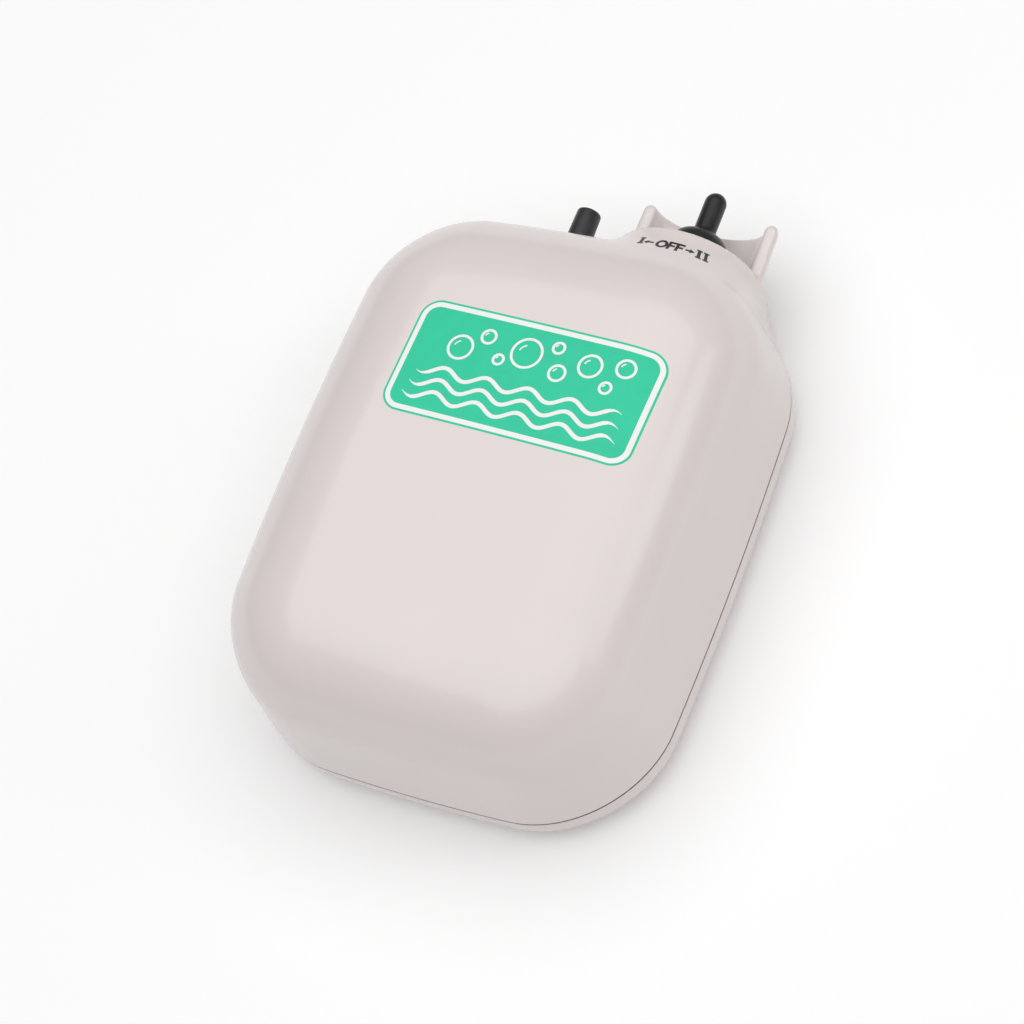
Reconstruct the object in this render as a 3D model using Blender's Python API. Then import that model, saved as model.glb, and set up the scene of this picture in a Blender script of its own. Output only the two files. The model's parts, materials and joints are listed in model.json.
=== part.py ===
"""Battery air pump for ponds and aquariums: a hand-sized case with a three-position toggle switch.

The pump lies on its back.  +Z points out of the front face, +Y towards the switch and the air outlet,
+X to the right seen from the front.  The origin is the middle of the flat back.  Lengths are in metres.
"""

from math import acos, cos, pi, sin

import bmesh
import bpy
from mathutils import Matrix, Vector

MM = 0.001

# Case
BODY_W = 90 * MM  # width where the corners begin
BODY_H = 116.5 * MM  # height where the corners begin
SIDE_BOW = 2.1 * MM  # how far the middle of each side stands out
CORNER_R = 24.3 * MM
FRONT_DEPTH = 37 * MM  # parting plane to the middle of the front face
REAR_DEPTH = 10 * MM  # flat back to the parting plane
DRAFT = 1.7 * MM  # lean of the side wall up to the edge rounding
EDGE_IN = 21.5 * MM  # edge rounding, across
EDGE_UP = 18.5 * MM  # edge rounding, along Z
CROWN = 1.0 * MM  # height of the front face's dome
CROWN_IN = 12 * MM  # width of the dome's sloping border
WALL = 2.2 * MM
BACK_IN = 13 * MM  # inset of the flat back
BACK_UP = 6.9 * MM  # height of the rear cover's rounding
CLEAR = 0.3 * MM  # gap between pieces that fit together
PARTING_GAP = 0.6 * MM  # open slit between the covers
LIP = 0.8 * MM  # outer lip of the gasket groove
GROOVE_DEPTH = 1.5 * MM
GASKET_W = 1.0 * MM
INNER_LIP = 1.0 * MM

# Switch boss and guard on the top end
BOSS_X = 17.7 * MM
TOP_Z = 20 * MM  # height of the switch, the outlet and the drive above the back
BOSS_R = 15.2 * MM
BOSS_TOP = 3.25 * MM  # above the end of the body
GUARD_H = 12.8 * MM  # guard above the boss
GUARD_PROUD = 0.3 * MM  # guard's sides outside those of the boss
GUARD_WALL = 2.4 * MM
GUARD_SQUARE = 2.6  # exponent of the guard's plan: 2 is an ellipse, more is squarer

# Toggle switch and its boot
SWITCH_W = 13 * MM
SWITCH_D = 8 * MM
SWITCH_H = 9.5 * MM
BUSHING_R = 3.1 * MM
BUSHING_WALL = 0.6 * MM
BUSHING_UP = 5.5 * MM  # above the boss
NUT_R = 4.6 * MM
NUT_H = 1.8 * MM
PIVOT_UP = 1.5 * MM  # lever's pivot above the boss
LEVER_R = 1.3 * MM
LEVER_UP = 15.2 * MM  # lever's tip above the pivot
LEVER_DOWN = 4.2 * MM  # lever's tail below the pivot
BOOT_R = 6.6 * MM
BOOT_SIDE_H = 3.8 * MM  # straight foot of the boot
BOOT_H = 7.2 * MM  # whole fixed part of the boot
BOOT_SKIN = 0.9 * MM
BOOT_MOUTH_R = 3.2 * MM  # mouth that the lever swings in
FINGER_R = 2.35 * MM
FINGER_FOOT = 7.0 * MM  # start of the finger above the pivot
LUG_W = 2.0 * MM
LUG_T = 0.8 * MM
LUG_H = 4.0 * MM
LUG_PITCH = 4.7 * MM
RESISTOR_R = 1.5 * MM
RESISTOR_L = 9.0 * MM

# Cells, size D, and their contacts
CELL_R = 17.1 * MM
CELL_L = 61.5 * MM
CELL_NUB_R = 4.75 * MM
CELL_NUB_H = 1.5 * MM
CELL_CORNER_R = 1.0 * MM
CELL_TO_END = 13.75 * MM  # room for the springs at the lower end
CELL_SEAT = 1.0 * MM  # rib between the rear wall and a cell
CONTACT_T = 0.6 * MM
CONTACT_W = 12 * MM
LINK_GAP = 6.2 * MM  # room of a pressed contact spring
SPRING_R = 5.0 * MM
SPRING_WIRE_R = 0.4 * MM
SPRING_TURNS = 3
RIB_T = 2.0 * MM
RIB_PLACES = (-32 * MM, 2 * MM)  # along Y, the ribs that cradle the cells
CRADLE_UP = 12.8 * MM  # front ribs' foot above a cell's axis
CRADLE_DOWN = 14.0 * MM  # rear ribs' top below a cell's axis
SEAT_W = 6 * MM  # seats behind the link plate

# Cover screw with a coin slot
COIN_Y = -15 * MM
COIN_HEAD_R = 6.0 * MM
COIN_HEAD_H = 2.0 * MM
COIN_SHANK_R = 1.5 * MM
COIN_LENGTH = 16 * MM
COIN_SLOT_W = 1.4 * MM
COIN_SLOT_L = 9 * MM
COIN_SLOT_D = 1.1 * MM
COIN_SEAL_T = 1.0 * MM
COIN_BOSS_H = 7.0 * MM  # thickened part of the rear cover round the screw
POST_GAP = 8.4 * MM  # gap between the cells, which the front cover's post uses
INSERT_WALL = 0.8 * MM
INSERT_L = 5.5 * MM
POST_FOOT = 11 * MM  # lower end of the front cover's post
CLIP_T = 0.6 * MM

# Chassis
CHASSIS_IN = 7.5 * MM
CHASSIS_Z = 34 * MM
CHASSIS_T = 2.0 * MM
PARTITION_T = 2.0 * MM
PARTITION_FOOT = 8 * MM
SCREW_R = 1.2 * MM
SCREW_HEAD_R = 2.5 * MM
SCREW_HEAD_H = 1.5 * MM
SCREW_LENGTH = 7 * MM
SCREW_POST_R = 3.0 * MM
CHASSIS_SCREWS = ((-31 * MM, 27 * MM), (-27 * MM, 44 * MM), (33 * MM, 28 * MM))

# Motor
ROD_L = 10.1 * MM  # motor's axis to the diaphragm
MOTOR_R = 10.5 * MM
MOTOR_L = 24 * MM
MOTOR_X = 2.5 * MM  # front face of the motor
CAN_T = 0.8 * MM
END_CAP_T = 3.0 * MM
MAGNET_T = 1.5 * MM
MAGNET_SPAN = 130  # degrees
SHAFT_R = 1.0 * MM
MAGNET_GAP = 0.9 * MM  # between magnets and armature
ARMATURE_SLOT_FOOT = 3.2 * MM  # bottom of a slot from the axis
CRADLE_WRAP = 6.3 * MM  # how far the cradles reach past the motor's axis
TERMINAL_OFF = 6.3 * MM  # terminals from the motor's axis
ARMATURE_L = 10 * MM
ARMATURE_SLOT_W = 2.2 * MM
COMMUTATOR_R = 2.4 * MM
COMMUTATOR_L = 3.0 * MM
TERMINAL_W = 2.4 * MM
TERMINAL_T = 0.5 * MM
TERMINAL_L = 3.5 * MM

# Diaphragm pump, in line with the outlet
OUTLET_X = -8.8 * MM
STROKE = 0.8 * MM  # offset of the eccentric, half of the stroke
ECCENTRIC_R = 4.0 * MM
ECCENTRIC_T = 3.0 * MM
ROD_RING_T = 1.6 * MM
ROD_W = 3.0 * MM
ROD_PLATE_R = 3.6 * MM
ROD_PLATE_T = 1.3 * MM
PUMP_HALF = 10.5 * MM  # half of the square pump block
PUMP_WALL_T = 1.7 * MM
PUMP_BORE_R = 6.4 * MM
DIAPHRAGM_R = 9.6 * MM
DIAPHRAGM_T = 1.2 * MM
HEAD_T = 4.0 * MM
CHAMBER_T = 1.8 * MM
CAP_T = 4.2 * MM
CAP_ROOM_T = 2.6 * MM
PORT_R = 0.9 * MM
PORT_OFF = 3.4 * MM  # ports from the pump's axis, along X
FLAP_W = 3.6 * MM
FLAP_L = 5.0 * MM
FLAP_T = 0.5 * MM
PUMP_SCREW_OFF = 8.2 * MM

# Outlet
NIPPLE_R = 2.5 * MM
NIPPLE_BORE_R = 1.2 * MM
NIPPLE_TIP_Y = 11.7 * MM  # above the end of the body
NIPPLE_BARB = 0.25 * MM
FLANGE_R = 5.0 * MM
FLANGE_T = 1.3 * MM
SEAL_T = 1.2 * MM

WIRE_R = 0.55 * MM
WIRE_BEND = 2 * MM
WIRE_STEPS = 5  # points of a wire between two places

CORNER_STEPS = 8
SIDE_POINTS = 3
EDGE_STEPS = 6
BACK_STEPS = 4
MIN_CORNER_R = 1.0 * MM
OVERRUN = 2 * MM  # how far a cutting shape passes the surface that it cuts

# Places worked out from the sizes above
TOTAL_DEPTH = REAR_DEPTH + FRONT_DEPTH
RIM_Z = REAR_DEPTH + PARTING_GAP / 2
LIP_Z = REAR_DEPTH - PARTING_GAP / 2
EDGE_Z = TOTAL_DEPTH - CROWN - EDGE_UP
BOSS_TOP_Y = BODY_H / 2 + BOSS_TOP
PIVOT_Y = BOSS_TOP_Y + PIVOT_UP
SWITCH_TOP_Y = BOSS_TOP_Y - WALL - CLEAR
SWITCH_LOW_Y = SWITCH_TOP_Y - SWITCH_H
POST_R = POST_GAP / 2 - CLEAR
CELL_X = POST_GAP / 2 + CELL_R
CELL_Z = WALL + CELL_SEAT + CLEAR + CELL_R
CELL_LOW_Y = -BODY_H / 2 + CELL_TO_END
CELL_TOP_Y = CELL_LOW_Y + CELL_L
CONTACT_Y = CELL_TOP_Y + CLEAR
PARTITION_Y = CONTACT_Y + CONTACT_T + CLEAR
LINK_Y = CELL_LOW_Y - LINK_GAP
SEAT_Y = LINK_Y - CONTACT_T - CLEAR
INSERT_R = COIN_SHANK_R + CLEAR + INSERT_WALL
BOW_AT_FLANGE = SIDE_BOW * (1 - ((abs(OUTLET_X) + FLANGE_R) / (BODY_W / 2)) ** 2)
DRAFT_AT_FLANGE = DRAFT * (TOP_Z + FLANGE_R - RIM_Z) / (EDGE_Z - RIM_Z)
TOP_IN_Y = BODY_H / 2 + BOW_AT_FLANGE - DRAFT_AT_FLANGE - WALL
FLANGE_Y = TOP_IN_Y - 2 * CLEAR - SEAL_T - FLANGE_T
CAP_Y = FLANGE_Y - CLEAR - CAP_T
HEAD_Y = CAP_Y - CLEAR - HEAD_T
DIAPHRAGM_Y = HEAD_Y - CLEAR - DIAPHRAGM_T
PUMP_WALL_Y = DIAPHRAGM_Y - CLEAR - PUMP_WALL_T
MOTOR_Y = DIAPHRAGM_Y - ROD_L
ARMATURE_R = MOTOR_R - CAN_T - CLEAR - MAGNET_T - MAGNET_GAP
COIN_FLOOR_Z = CLEAR + COIN_HEAD_H + CLEAR + COIN_SEAL_T + CLEAR
WIRE_LOW_Z = PARTITION_FOOT - CLEAR - 2 * WIRE_R

SHELL = ((0.86, 0.83, 0.80), 0.28, 0.0)
BLACK_RUBBER = ((0.02, 0.02, 0.02), 0.55, 0.0)
BLACK_PLASTIC = ((0.03, 0.03, 0.03), 0.4, 0.0)
GREY_PLASTIC = ((0.35, 0.36, 0.38), 0.5, 0.0)
STEEL = ((0.62, 0.62, 0.64), 0.3, 1.0)
BRASS = ((0.78, 0.60, 0.28), 0.3, 1.0)
COPPER = ((0.72, 0.38, 0.22), 0.35, 1.0)
FERRITE = ((0.12, 0.12, 0.13), 0.7, 0.0)
CELL_WRAP = ((0.10, 0.11, 0.13), 0.35, 0.2)
RESISTOR_TAN = ((0.62, 0.48, 0.32), 0.5, 0.0)
RED_WIRE = ((0.60, 0.03, 0.03), 0.45, 0.0)
BLACK_WIRE = ((0.02, 0.02, 0.02), 0.45, 0.0)


# Mesh tools


def clear_scene():
    for thing in list(bpy.data.objects):
        bpy.data.objects.remove(thing, do_unlink=True)


def object_from(name, points, faces):
    """A closed mesh object with its faces pointing out."""
    mesh = bpy.data.meshes.new(name)
    mesh.from_pydata([tuple(point) for point in points], [], faces)
    shape = bmesh.new()
    shape.from_mesh(mesh)
    bmesh.ops.recalc_face_normals(shape, faces=shape.faces)
    shape.to_mesh(mesh)
    shape.free()
    thing = bpy.data.objects.new(name, mesh)
    bpy.context.collection.objects.link(thing)
    return thing


def bridge(first, second, count):
    """Quads between two loops of the same count, given by their first indices."""
    return [
        (first + i, first + (i + 1) % count, second + (i + 1) % count, second + i)
        for i in range(count)
    ]


def loft(name, rings, closed=False):
    """A skin over rings of equal count, with its two ends capped, or joined when closed."""
    count = len(rings[0])
    points = [point for ring in rings for point in ring]
    faces = []
    for k in range(len(rings) - 1):
        faces += bridge(k * count, (k + 1) * count, count)
    last = (len(rings) - 1) * count
    if closed:
        faces += bridge(last, 0, count)
    else:
        faces.append(tuple(range(count)))
        faces.append(tuple(last + i for i in range(count)))
    return object_from(name, points, faces)


def box(name, low, high):
    corners = [(low[0], low[1]), (high[0], low[1]), (high[0], high[1]), (low[0], high[1])]
    return loft(name, [[(x, y, z) for x, y in corners] for z in (low[2], high[2])])


def placed(axis, u, v, along):
    """A point from two coordinates across an axis and one along it; u and v keep the order of X, Y, Z."""
    if axis == "X":
        return (along, u, v)
    if axis == "Y":
        return (u, along, v)
    return (u, v, along)


def prism(name, loop, axis, low, high):
    """A flat loop drawn out along an axis."""
    return loft(name, [[placed(axis, u, v, along) for u, v in loop] for along in (low, high)])


def circle(radius, centre=(0, 0), steps=24, start=0.0, turn=2 * pi):
    """Points on a circle; an open arc keeps its last point."""
    whole = abs(turn - 2 * pi) < 1e-6
    count = steps if whole else steps + 1
    angles = [start + turn * i / steps for i in range(count)]
    return [(centre[0] + radius * cos(a), centre[1] + radius * sin(a)) for a in angles]


def rod(name, radius, axis, centre, low, high, steps=24):
    return prism(name, circle(radius, centre, steps), axis, low, high)


def turned(name, profile, axis, centre, steps=24):
    """A closed profile of (radius, distance along the axis) turned about an axis.

    It runs round a bore, or touches the axis twice: at its ends, or anywhere for a hollow cap."""
    points = []
    starts = []
    for radius, along in profile:
        starts.append((len(points), radius == 0))
        loop = [(0.0, 0.0)] if radius == 0 else circle(radius, steps=steps)
        points += [placed(axis, centre[0] + u, centre[1] + v, along) for u, v in loop]
    faces = []
    for (first, first_point), (second, second_point) in zip(starts, starts[1:] + starts[:1]):
        if first_point and second_point:
            continue
        if first_point:
            faces += [(first, second + (i + 1) % steps, second + i) for i in range(steps)]
        elif second_point:
            faces += [(first + i, first + (i + 1) % steps, second) for i in range(steps)]
        else:
            faces += bridge(first, second, steps)
    return object_from(name, points, faces)


def tube(name, axis, centre, outer, inner, low, high, steps=24):
    return turned(name, [(outer, low), (outer, high), (inner, high), (inner, low)], axis, centre, steps)


def combine(thing, tool, operation):
    """Boolean of two objects; the tool is used up."""
    step = thing.modifiers.new("step", "BOOLEAN")
    step.operation = operation
    step.solver = "EXACT"
    step.object = tool
    bpy.context.view_layer.update()
    evaluated = thing.evaluated_get(bpy.context.evaluated_depsgraph_get())
    mesh = bpy.data.meshes.new_from_object(evaluated)
    thing.modifiers.clear()
    thing.data = mesh
    bpy.data.objects.remove(tool, do_unlink=True)
    return thing


def join(thing, *tools):
    for tool in tools:
        combine(thing, tool, "UNION")
    return thing


def cut(thing, *tools):
    for tool in tools:
        combine(thing, tool, "DIFFERENCE")
    return thing


def clip(thing, tool):
    return combine(thing, tool, "INTERSECT")


def finish(thing, name, look, pivot=None, sharp=35):
    """Names a node, gives it its own material and shading, and hangs a moving piece on its pivot."""
    thing.name = name
    thing.data.name = name
    thing.data.materials.clear()
    material = bpy.data.materials.new(name)
    material.use_nodes = True
    colour, roughness, metallic = look
    shader = material.node_tree.nodes["Principled BSDF"]
    shader.inputs["Base Color"].default_value = (*colour, 1.0)
    shader.inputs["Roughness"].default_value = roughness
    shader.inputs["Metallic"].default_value = metallic
    material.diffuse_color = (*colour, 1.0)
    thing.data.materials.append(material)
    thing.data.shade_smooth()
    thing.data.set_sharp_from_angle(angle=sharp * pi / 180)
    if pivot is not None:
        thing.data.transform(Matrix.Translation(-pivot.location))
        thing.parent = pivot
    return thing


def pivot_at(name, place, parent=None):
    """An empty on a joint's axis."""
    empty = bpy.data.objects.new(name, None)
    empty.location = place if parent is None else Vector(place) - parent.location
    empty.parent = parent
    empty.empty_display_size = 4 * MM
    bpy.context.collection.objects.link(empty)
    return empty


# Case


def bow(x, y, half_w, half_h):
    """Stands the middle of each side out."""
    out_x = x + SIDE_BOW * (1 - (y / half_h) ** 2) * x / half_w
    out_y = y + SIDE_BOW * (1 - (x / half_w) ** 2) * y / half_h
    return out_x, out_y


def outline(inset):
    """The body's outline, drawn in by an inset: a rounded rectangle with bowed sides."""
    half_w = BODY_W / 2 - inset
    half_h = BODY_H / 2 - inset
    radius = max(CORNER_R - inset, MIN_CORNER_R)
    loop = []
    for quarter, (sign_x, sign_y) in enumerate(((1, 1), (-1, 1), (-1, -1), (1, -1))):
        centre = (sign_x * (half_w - radius), sign_y * (half_h - radius))
        loop += circle(radius, centre, CORNER_STEPS, quarter * pi / 2, pi / 2)
    filled = []
    per_corner = CORNER_STEPS + 1
    for i, point in enumerate(loop):
        filled.append(point)
        if i % per_corner == per_corner - 1:
            after = loop[(i + 1) % len(loop)]
            for k in range(1, SIDE_POINTS + 1):
                share = k / (SIDE_POINTS + 1)
                filled.append(tuple(a + (b - a) * share for a, b in zip(point, after)))
    return [bow(x, y, half_w, half_h) for x, y in filled]


def skin(name, profile):
    """A solid lofted through (inset, height) pairs of the body's outline."""
    return loft(name, [[(x, y, z) for x, y in outline(inset)] for inset, z in profile])


def front_profile(wall, foot):
    """(inset, height) from a foot at or below the rim to the crown, drawn in by a wall's thickness."""
    lean = DRAFT / (EDGE_Z - RIM_Z)
    points = [(wall - lean * (RIM_Z - foot), foot), (DRAFT + wall, EDGE_Z)]
    for step in range(1, EDGE_STEPS + 1):
        turn = pi / 2 * step / EDGE_STEPS
        inset = DRAFT + wall + (EDGE_IN - wall) * (1 - cos(turn))
        points.append((inset, EDGE_Z + (EDGE_UP - wall) * sin(turn)))
    points.append((DRAFT + EDGE_IN + CROWN_IN, TOTAL_DEPTH - wall))
    return points


def rear_profile():
    """(inset, height) round the rear cover: out of the back, over the gasket groove and down inside."""
    points = []
    for step in range(BACK_STEPS + 1):
        turn = pi / 2 * step / BACK_STEPS
        points.append((BACK_IN * (1 - sin(turn)), BACK_UP * (1 - cos(turn))))
    groove_in = LIP + 2 * CLEAR + GASKET_W
    inner = groove_in + INNER_LIP
    points += [(0, LIP_Z), (LIP, LIP_Z), (LIP, LIP_Z - GROOVE_DEPTH), (groove_in, LIP_Z - GROOVE_DEPTH)]
    points += [(groove_in, LIP_Z), (inner, LIP_Z)]
    for step in range(BACK_STEPS + 1):
        turn = pi / 2 * step / BACK_STEPS
        inset = inner + (BACK_IN - inner) * (1 - cos(turn))
        points.append((inset, BACK_UP - (BACK_UP - WALL) * sin(turn)))
    return points


def guard_loop(half_width, back_z):
    """Plan of the guard behind the boot: a squared half ellipse, open to the front."""
    steps = 16
    power = 2 / GUARD_SQUARE
    loop = []
    for i in range(steps + 1):
        turn = pi * i / steps
        across = half_width * abs(cos(turn)) ** power * (1 if turn < pi / 2 else -1)
        loop.append((BOSS_X + across, TOP_Z - (TOP_Z - back_z) * sin(turn) ** power))
    return loop


def boss_loop(radius, foot):
    """Plan of the switch boss: round in front, straight down to the parting plane."""
    arc = circle(radius, (BOSS_X, TOP_Z), 24, 0, pi)
    return arc + [(BOSS_X - radius, foot), (BOSS_X + radius, foot)]


def cells_cutter(name):
    """Two rods with the cells' running clearance."""
    low = CELL_LOW_Y - CELL_TO_END
    tools = [
        rod(name, CELL_R + CLEAR, "Y", (side * CELL_X, CELL_Z), low, CELL_TOP_Y + CLEAR, 32)
        for side in (-1, 1)
    ]
    return tools


def front_ribs():
    """Ribs, contact seats and posts inside the front cover, longer than they end up."""
    roof = TOTAL_DEPTH + OVERRUN
    low = CELL_Z + CRADLE_UP
    half = BODY_W / 2
    ribs = [box("rib", (-half, y, low), (half, y + RIB_T, roof)) for y in RIB_PLACES]
    for side in (-1, 1):
        x = side * CELL_X
        low_corner = (x - SEAT_W / 2, -BODY_H, RIM_Z + OVERRUN)
        ribs.append(box("seat", low_corner, (x + SEAT_W / 2, SEAT_Y, roof)))
    ribs.append(rod("post", POST_R, "Z", (0, COIN_Y), POST_FOOT, roof, 24))
    for place in CHASSIS_SCREWS:
        ribs.append(rod("post", SCREW_POST_R, "Z", place, CHASSIS_Z + CHASSIS_T + CLEAR, roof, 20))
    return ribs


def make_front_cover():
    shell = skin("front_cover", front_profile(0, RIM_Z - OVERRUN))
    boss_low = BODY_H / 2 - CORNER_R
    join(shell, prism("boss", boss_loop(BOSS_R, RIM_Z - 2 * OVERRUN), "Y", boss_low, BOSS_TOP_Y))
    side = BOSS_R + GUARD_PROUD
    back = RIM_Z + GUARD_PROUD
    guard = prism("guard", guard_loop(side, back), "Y", boss_low + WALL, BOSS_TOP_Y + GUARD_H)
    room = guard_loop(side - GUARD_WALL, back + GUARD_WALL)
    cut(guard, prism("room", widened(room), "Y", BOSS_TOP_Y - WALL, BOSS_TOP_Y + GUARD_H + OVERRUN))
    join(shell, guard)
    cut(shell, box("below", (-BODY_W, -BODY_H, -REAR_DEPTH), (BODY_W, 2 * BODY_H, RIM_Z)))
    cut(shell, skin("hollow", front_profile(WALL, RIM_Z - OVERRUN)))
    boss_room = boss_loop(BOSS_R - WALL, RIM_Z - OVERRUN)
    room_low = boss_low + WALL
    cut(shell, prism("boss_room", boss_room, "Y", room_low, BOSS_TOP_Y - WALL))
    ribs = front_ribs()
    first = join(ribs[0], *ribs[1:])
    cut(clip(first, skin("inside", front_profile(WALL / 2, RIM_Z - OVERRUN))), *cells_cutter("cell_room"))
    join(shell, first)
    cut(shell, rod("hole", BUSHING_R + CLEAR, "Y", (BOSS_X, TOP_Z), BOSS_TOP_Y - WALL - OVERRUN,
                   BOSS_TOP_Y + OVERRUN))
    cut(shell, rod("hole", NIPPLE_R + CLEAR, "Y", (OUTLET_X, TOP_Z), TOP_IN_Y - OVERRUN,
                   BODY_H / 2 + SIDE_BOW + OVERRUN))
    cut(shell, rod("hole", INSERT_R + CLEAR, "Z", (0, COIN_Y), POST_FOOT - OVERRUN,
                   POST_FOOT + INSERT_L + OVERRUN))
    for place in CHASSIS_SCREWS:
        low = CHASSIS_Z + CHASSIS_T
        cut(shell, rod("hole", SCREW_R + CLEAR, "Z", place, low, low + SCREW_LENGTH - CHASSIS_T, 16))
    return finish(shell, "front_cover", SHELL)


def widened(loop):
    """The guard's room, carried on past its open front."""
    return loop + [(loop[-1][0], TOP_Z + OVERRUN), (loop[0][0], TOP_Z + OVERRUN)]


def make_rear_cover(slide):
    shell = skin("rear_cover", rear_profile())
    half = BODY_W / 2 - BACK_IN
    floor = WALL / 2
    ribs = [
        box("rib", (-half, y, floor), (half, y + RIB_T, CELL_Z - CRADLE_DOWN)) for y in RIB_PLACES
    ]
    cradle = join(ribs[0], *ribs[1:])
    cut(cradle, *cells_cutter("cell_room"))
    join(shell, cradle)
    join(shell, rod("boss", COIN_HEAD_R + 2 * CLEAR + LIP, "Z", (0, COIN_Y), floor, COIN_BOSS_H, 32))
    cut(shell, rod("recess", COIN_HEAD_R + CLEAR, "Z", (0, COIN_Y), -OVERRUN, COIN_FLOOR_Z, 32))
    cut(shell, rod("hole", COIN_SHANK_R + CLEAR, "Z", (0, COIN_Y), 0, COIN_BOSS_H + OVERRUN, 20))
    return finish(shell, "rear_cover", SHELL, slide)


def make_gasket(slide):
    """A square ring in the rear cover's groove."""
    outer = LIP + CLEAR
    inner = outer + GASKET_W
    low = LIP_Z - GROOVE_DEPTH + CLEAR
    high = RIM_Z - CLEAR
    section = ((outer, low), (outer, high), (inner, high), (inner, low))
    rings = [[(x, y, z) for x, y in outline(inset)] for inset, z in section]
    return finish(loft("case_gasket", rings, closed=True), "case_gasket", BLACK_RUBBER, slide)


def make_coin_screw(spin, slide):
    """Captive screw of the rear cover, with its seal, its clip and the insert that it enters."""
    centre = (0, COIN_Y)
    low = CLEAR
    top = low + COIN_HEAD_H
    profile = [(0, low), (COIN_HEAD_R, low), (COIN_HEAD_R, top), (COIN_SHANK_R, top)]
    profile += [(COIN_SHANK_R, low + COIN_LENGTH), (0, low + COIN_LENGTH)]
    screw = turned("coin_screw", profile, "Z", centre, 28)
    slot_half = COIN_SLOT_L / 2
    cut(screw, box("slot", (-slot_half, COIN_Y - COIN_SLOT_W / 2, -OVERRUN),
                   (slot_half, COIN_Y + COIN_SLOT_W / 2, low + COIN_SLOT_D)))
    finish(screw, "coin_screw", STEEL, spin)
    seal = tube("seal", "Z", centre, COIN_HEAD_R - 3 * CLEAR, COIN_SHANK_R + 3 * CLEAR,
                top + CLEAR, top + CLEAR + COIN_SEAL_T)
    finish(seal, "coin_screw_seal", BLACK_RUBBER, slide)
    clip_low = COIN_BOSS_H + CLEAR
    clip_ring = tube("clip", "Z", centre, COIN_SHANK_R * 2, COIN_SHANK_R + CLEAR,
                     clip_low, clip_low + CLIP_T)
    finish(clip_ring, "coin_screw_clip", STEEL, spin)
    insert = tube("insert", "Z", centre, INSERT_R, COIN_SHANK_R + CLEAR, POST_FOOT, POST_FOOT + INSERT_L)
    finish(insert, "coin_insert", BRASS)


# Cells and contacts


def make_cells():
    """Two D cells side by side, the second one upside down."""
    for number, side in enumerate((-1, 1), 1):
        body_l = CELL_L - CELL_NUB_H
        corner = CELL_CORNER_R
        profile = [(0, 0), (CELL_R - corner, 0), (CELL_R, corner), (CELL_R, body_l - corner)]
        profile += [(CELL_R - corner, body_l), (CELL_NUB_R, body_l), (CELL_NUB_R, CELL_L), (0, CELL_L)]
        if side < 0:
            profile = [(radius, CELL_LOW_Y + along) for radius, along in profile]
        else:
            profile = [(radius, CELL_TOP_Y - along) for radius, along in profile]
        cell = turned("battery", profile, "Y", (side * CELL_X, CELL_Z), 32)
        finish(cell, f"battery_{number}", CELL_WRAP)


def make_spring(number, x):
    """A pressed coil spring between the link plate and a cell."""
    low = LINK_Y + CLEAR + SPRING_WIRE_R
    high = CELL_LOW_Y - CLEAR - SPRING_WIRE_R
    steps = SPRING_TURNS * 12
    curve = bpy.data.curves.new("spring", "CURVE")
    curve.dimensions = "3D"
    curve.bevel_depth = SPRING_WIRE_R
    curve.bevel_resolution = 1
    curve.use_fill_caps = True
    spline = curve.splines.new("POLY")
    spline.points.add(steps)
    for i in range(steps + 1):
        turn = 2 * pi * SPRING_TURNS * i / steps
        across = SPRING_R * cos(turn)
        up = SPRING_R * sin(turn)
        spline.points[i].co = (x + across, low + (high - low) * i / steps, CELL_Z + up, 1)
    finish(mesh_of(curve), f"contact_spring_{number}", STEEL)


def mesh_of(curve):
    """A curve made into a mesh object."""
    source = bpy.data.objects.new("curve", curve)
    bpy.context.collection.objects.link(source)
    bpy.context.view_layer.update()
    evaluated = source.evaluated_get(bpy.context.evaluated_depsgraph_get())
    mesh = bpy.data.meshes.new_from_object(evaluated)
    bpy.data.objects.remove(source, do_unlink=True)
    shape = bmesh.new()
    shape.from_mesh(mesh)
    bmesh.ops.remove_doubles(shape, verts=shape.verts, dist=0.001 * MM)
    bmesh.ops.recalc_face_normals(shape, faces=shape.faces)
    shape.to_mesh(mesh)
    shape.free()
    thing = bpy.data.objects.new("wire", mesh)
    bpy.context.collection.objects.link(thing)
    return thing


def make_contacts():
    half = CONTACT_W / 2
    reach = CELL_X + half
    link = box("link", (-reach, LINK_Y - CONTACT_T, CELL_Z - half), (reach, LINK_Y, CELL_Z + half))
    finish(link, "bottom_link", STEEL)
    for number, side in enumerate((-1, 1), 1):
        make_spring(number, side * CELL_X)
        x = side * CELL_X
        low = (x - half, CONTACT_Y, CELL_Z - half)
        plate = box("plate", low, (x + half, CONTACT_Y + CONTACT_T, CELL_Z + half))
        finish(plate, f"top_contact_{number}", STEEL)


# Chassis


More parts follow.
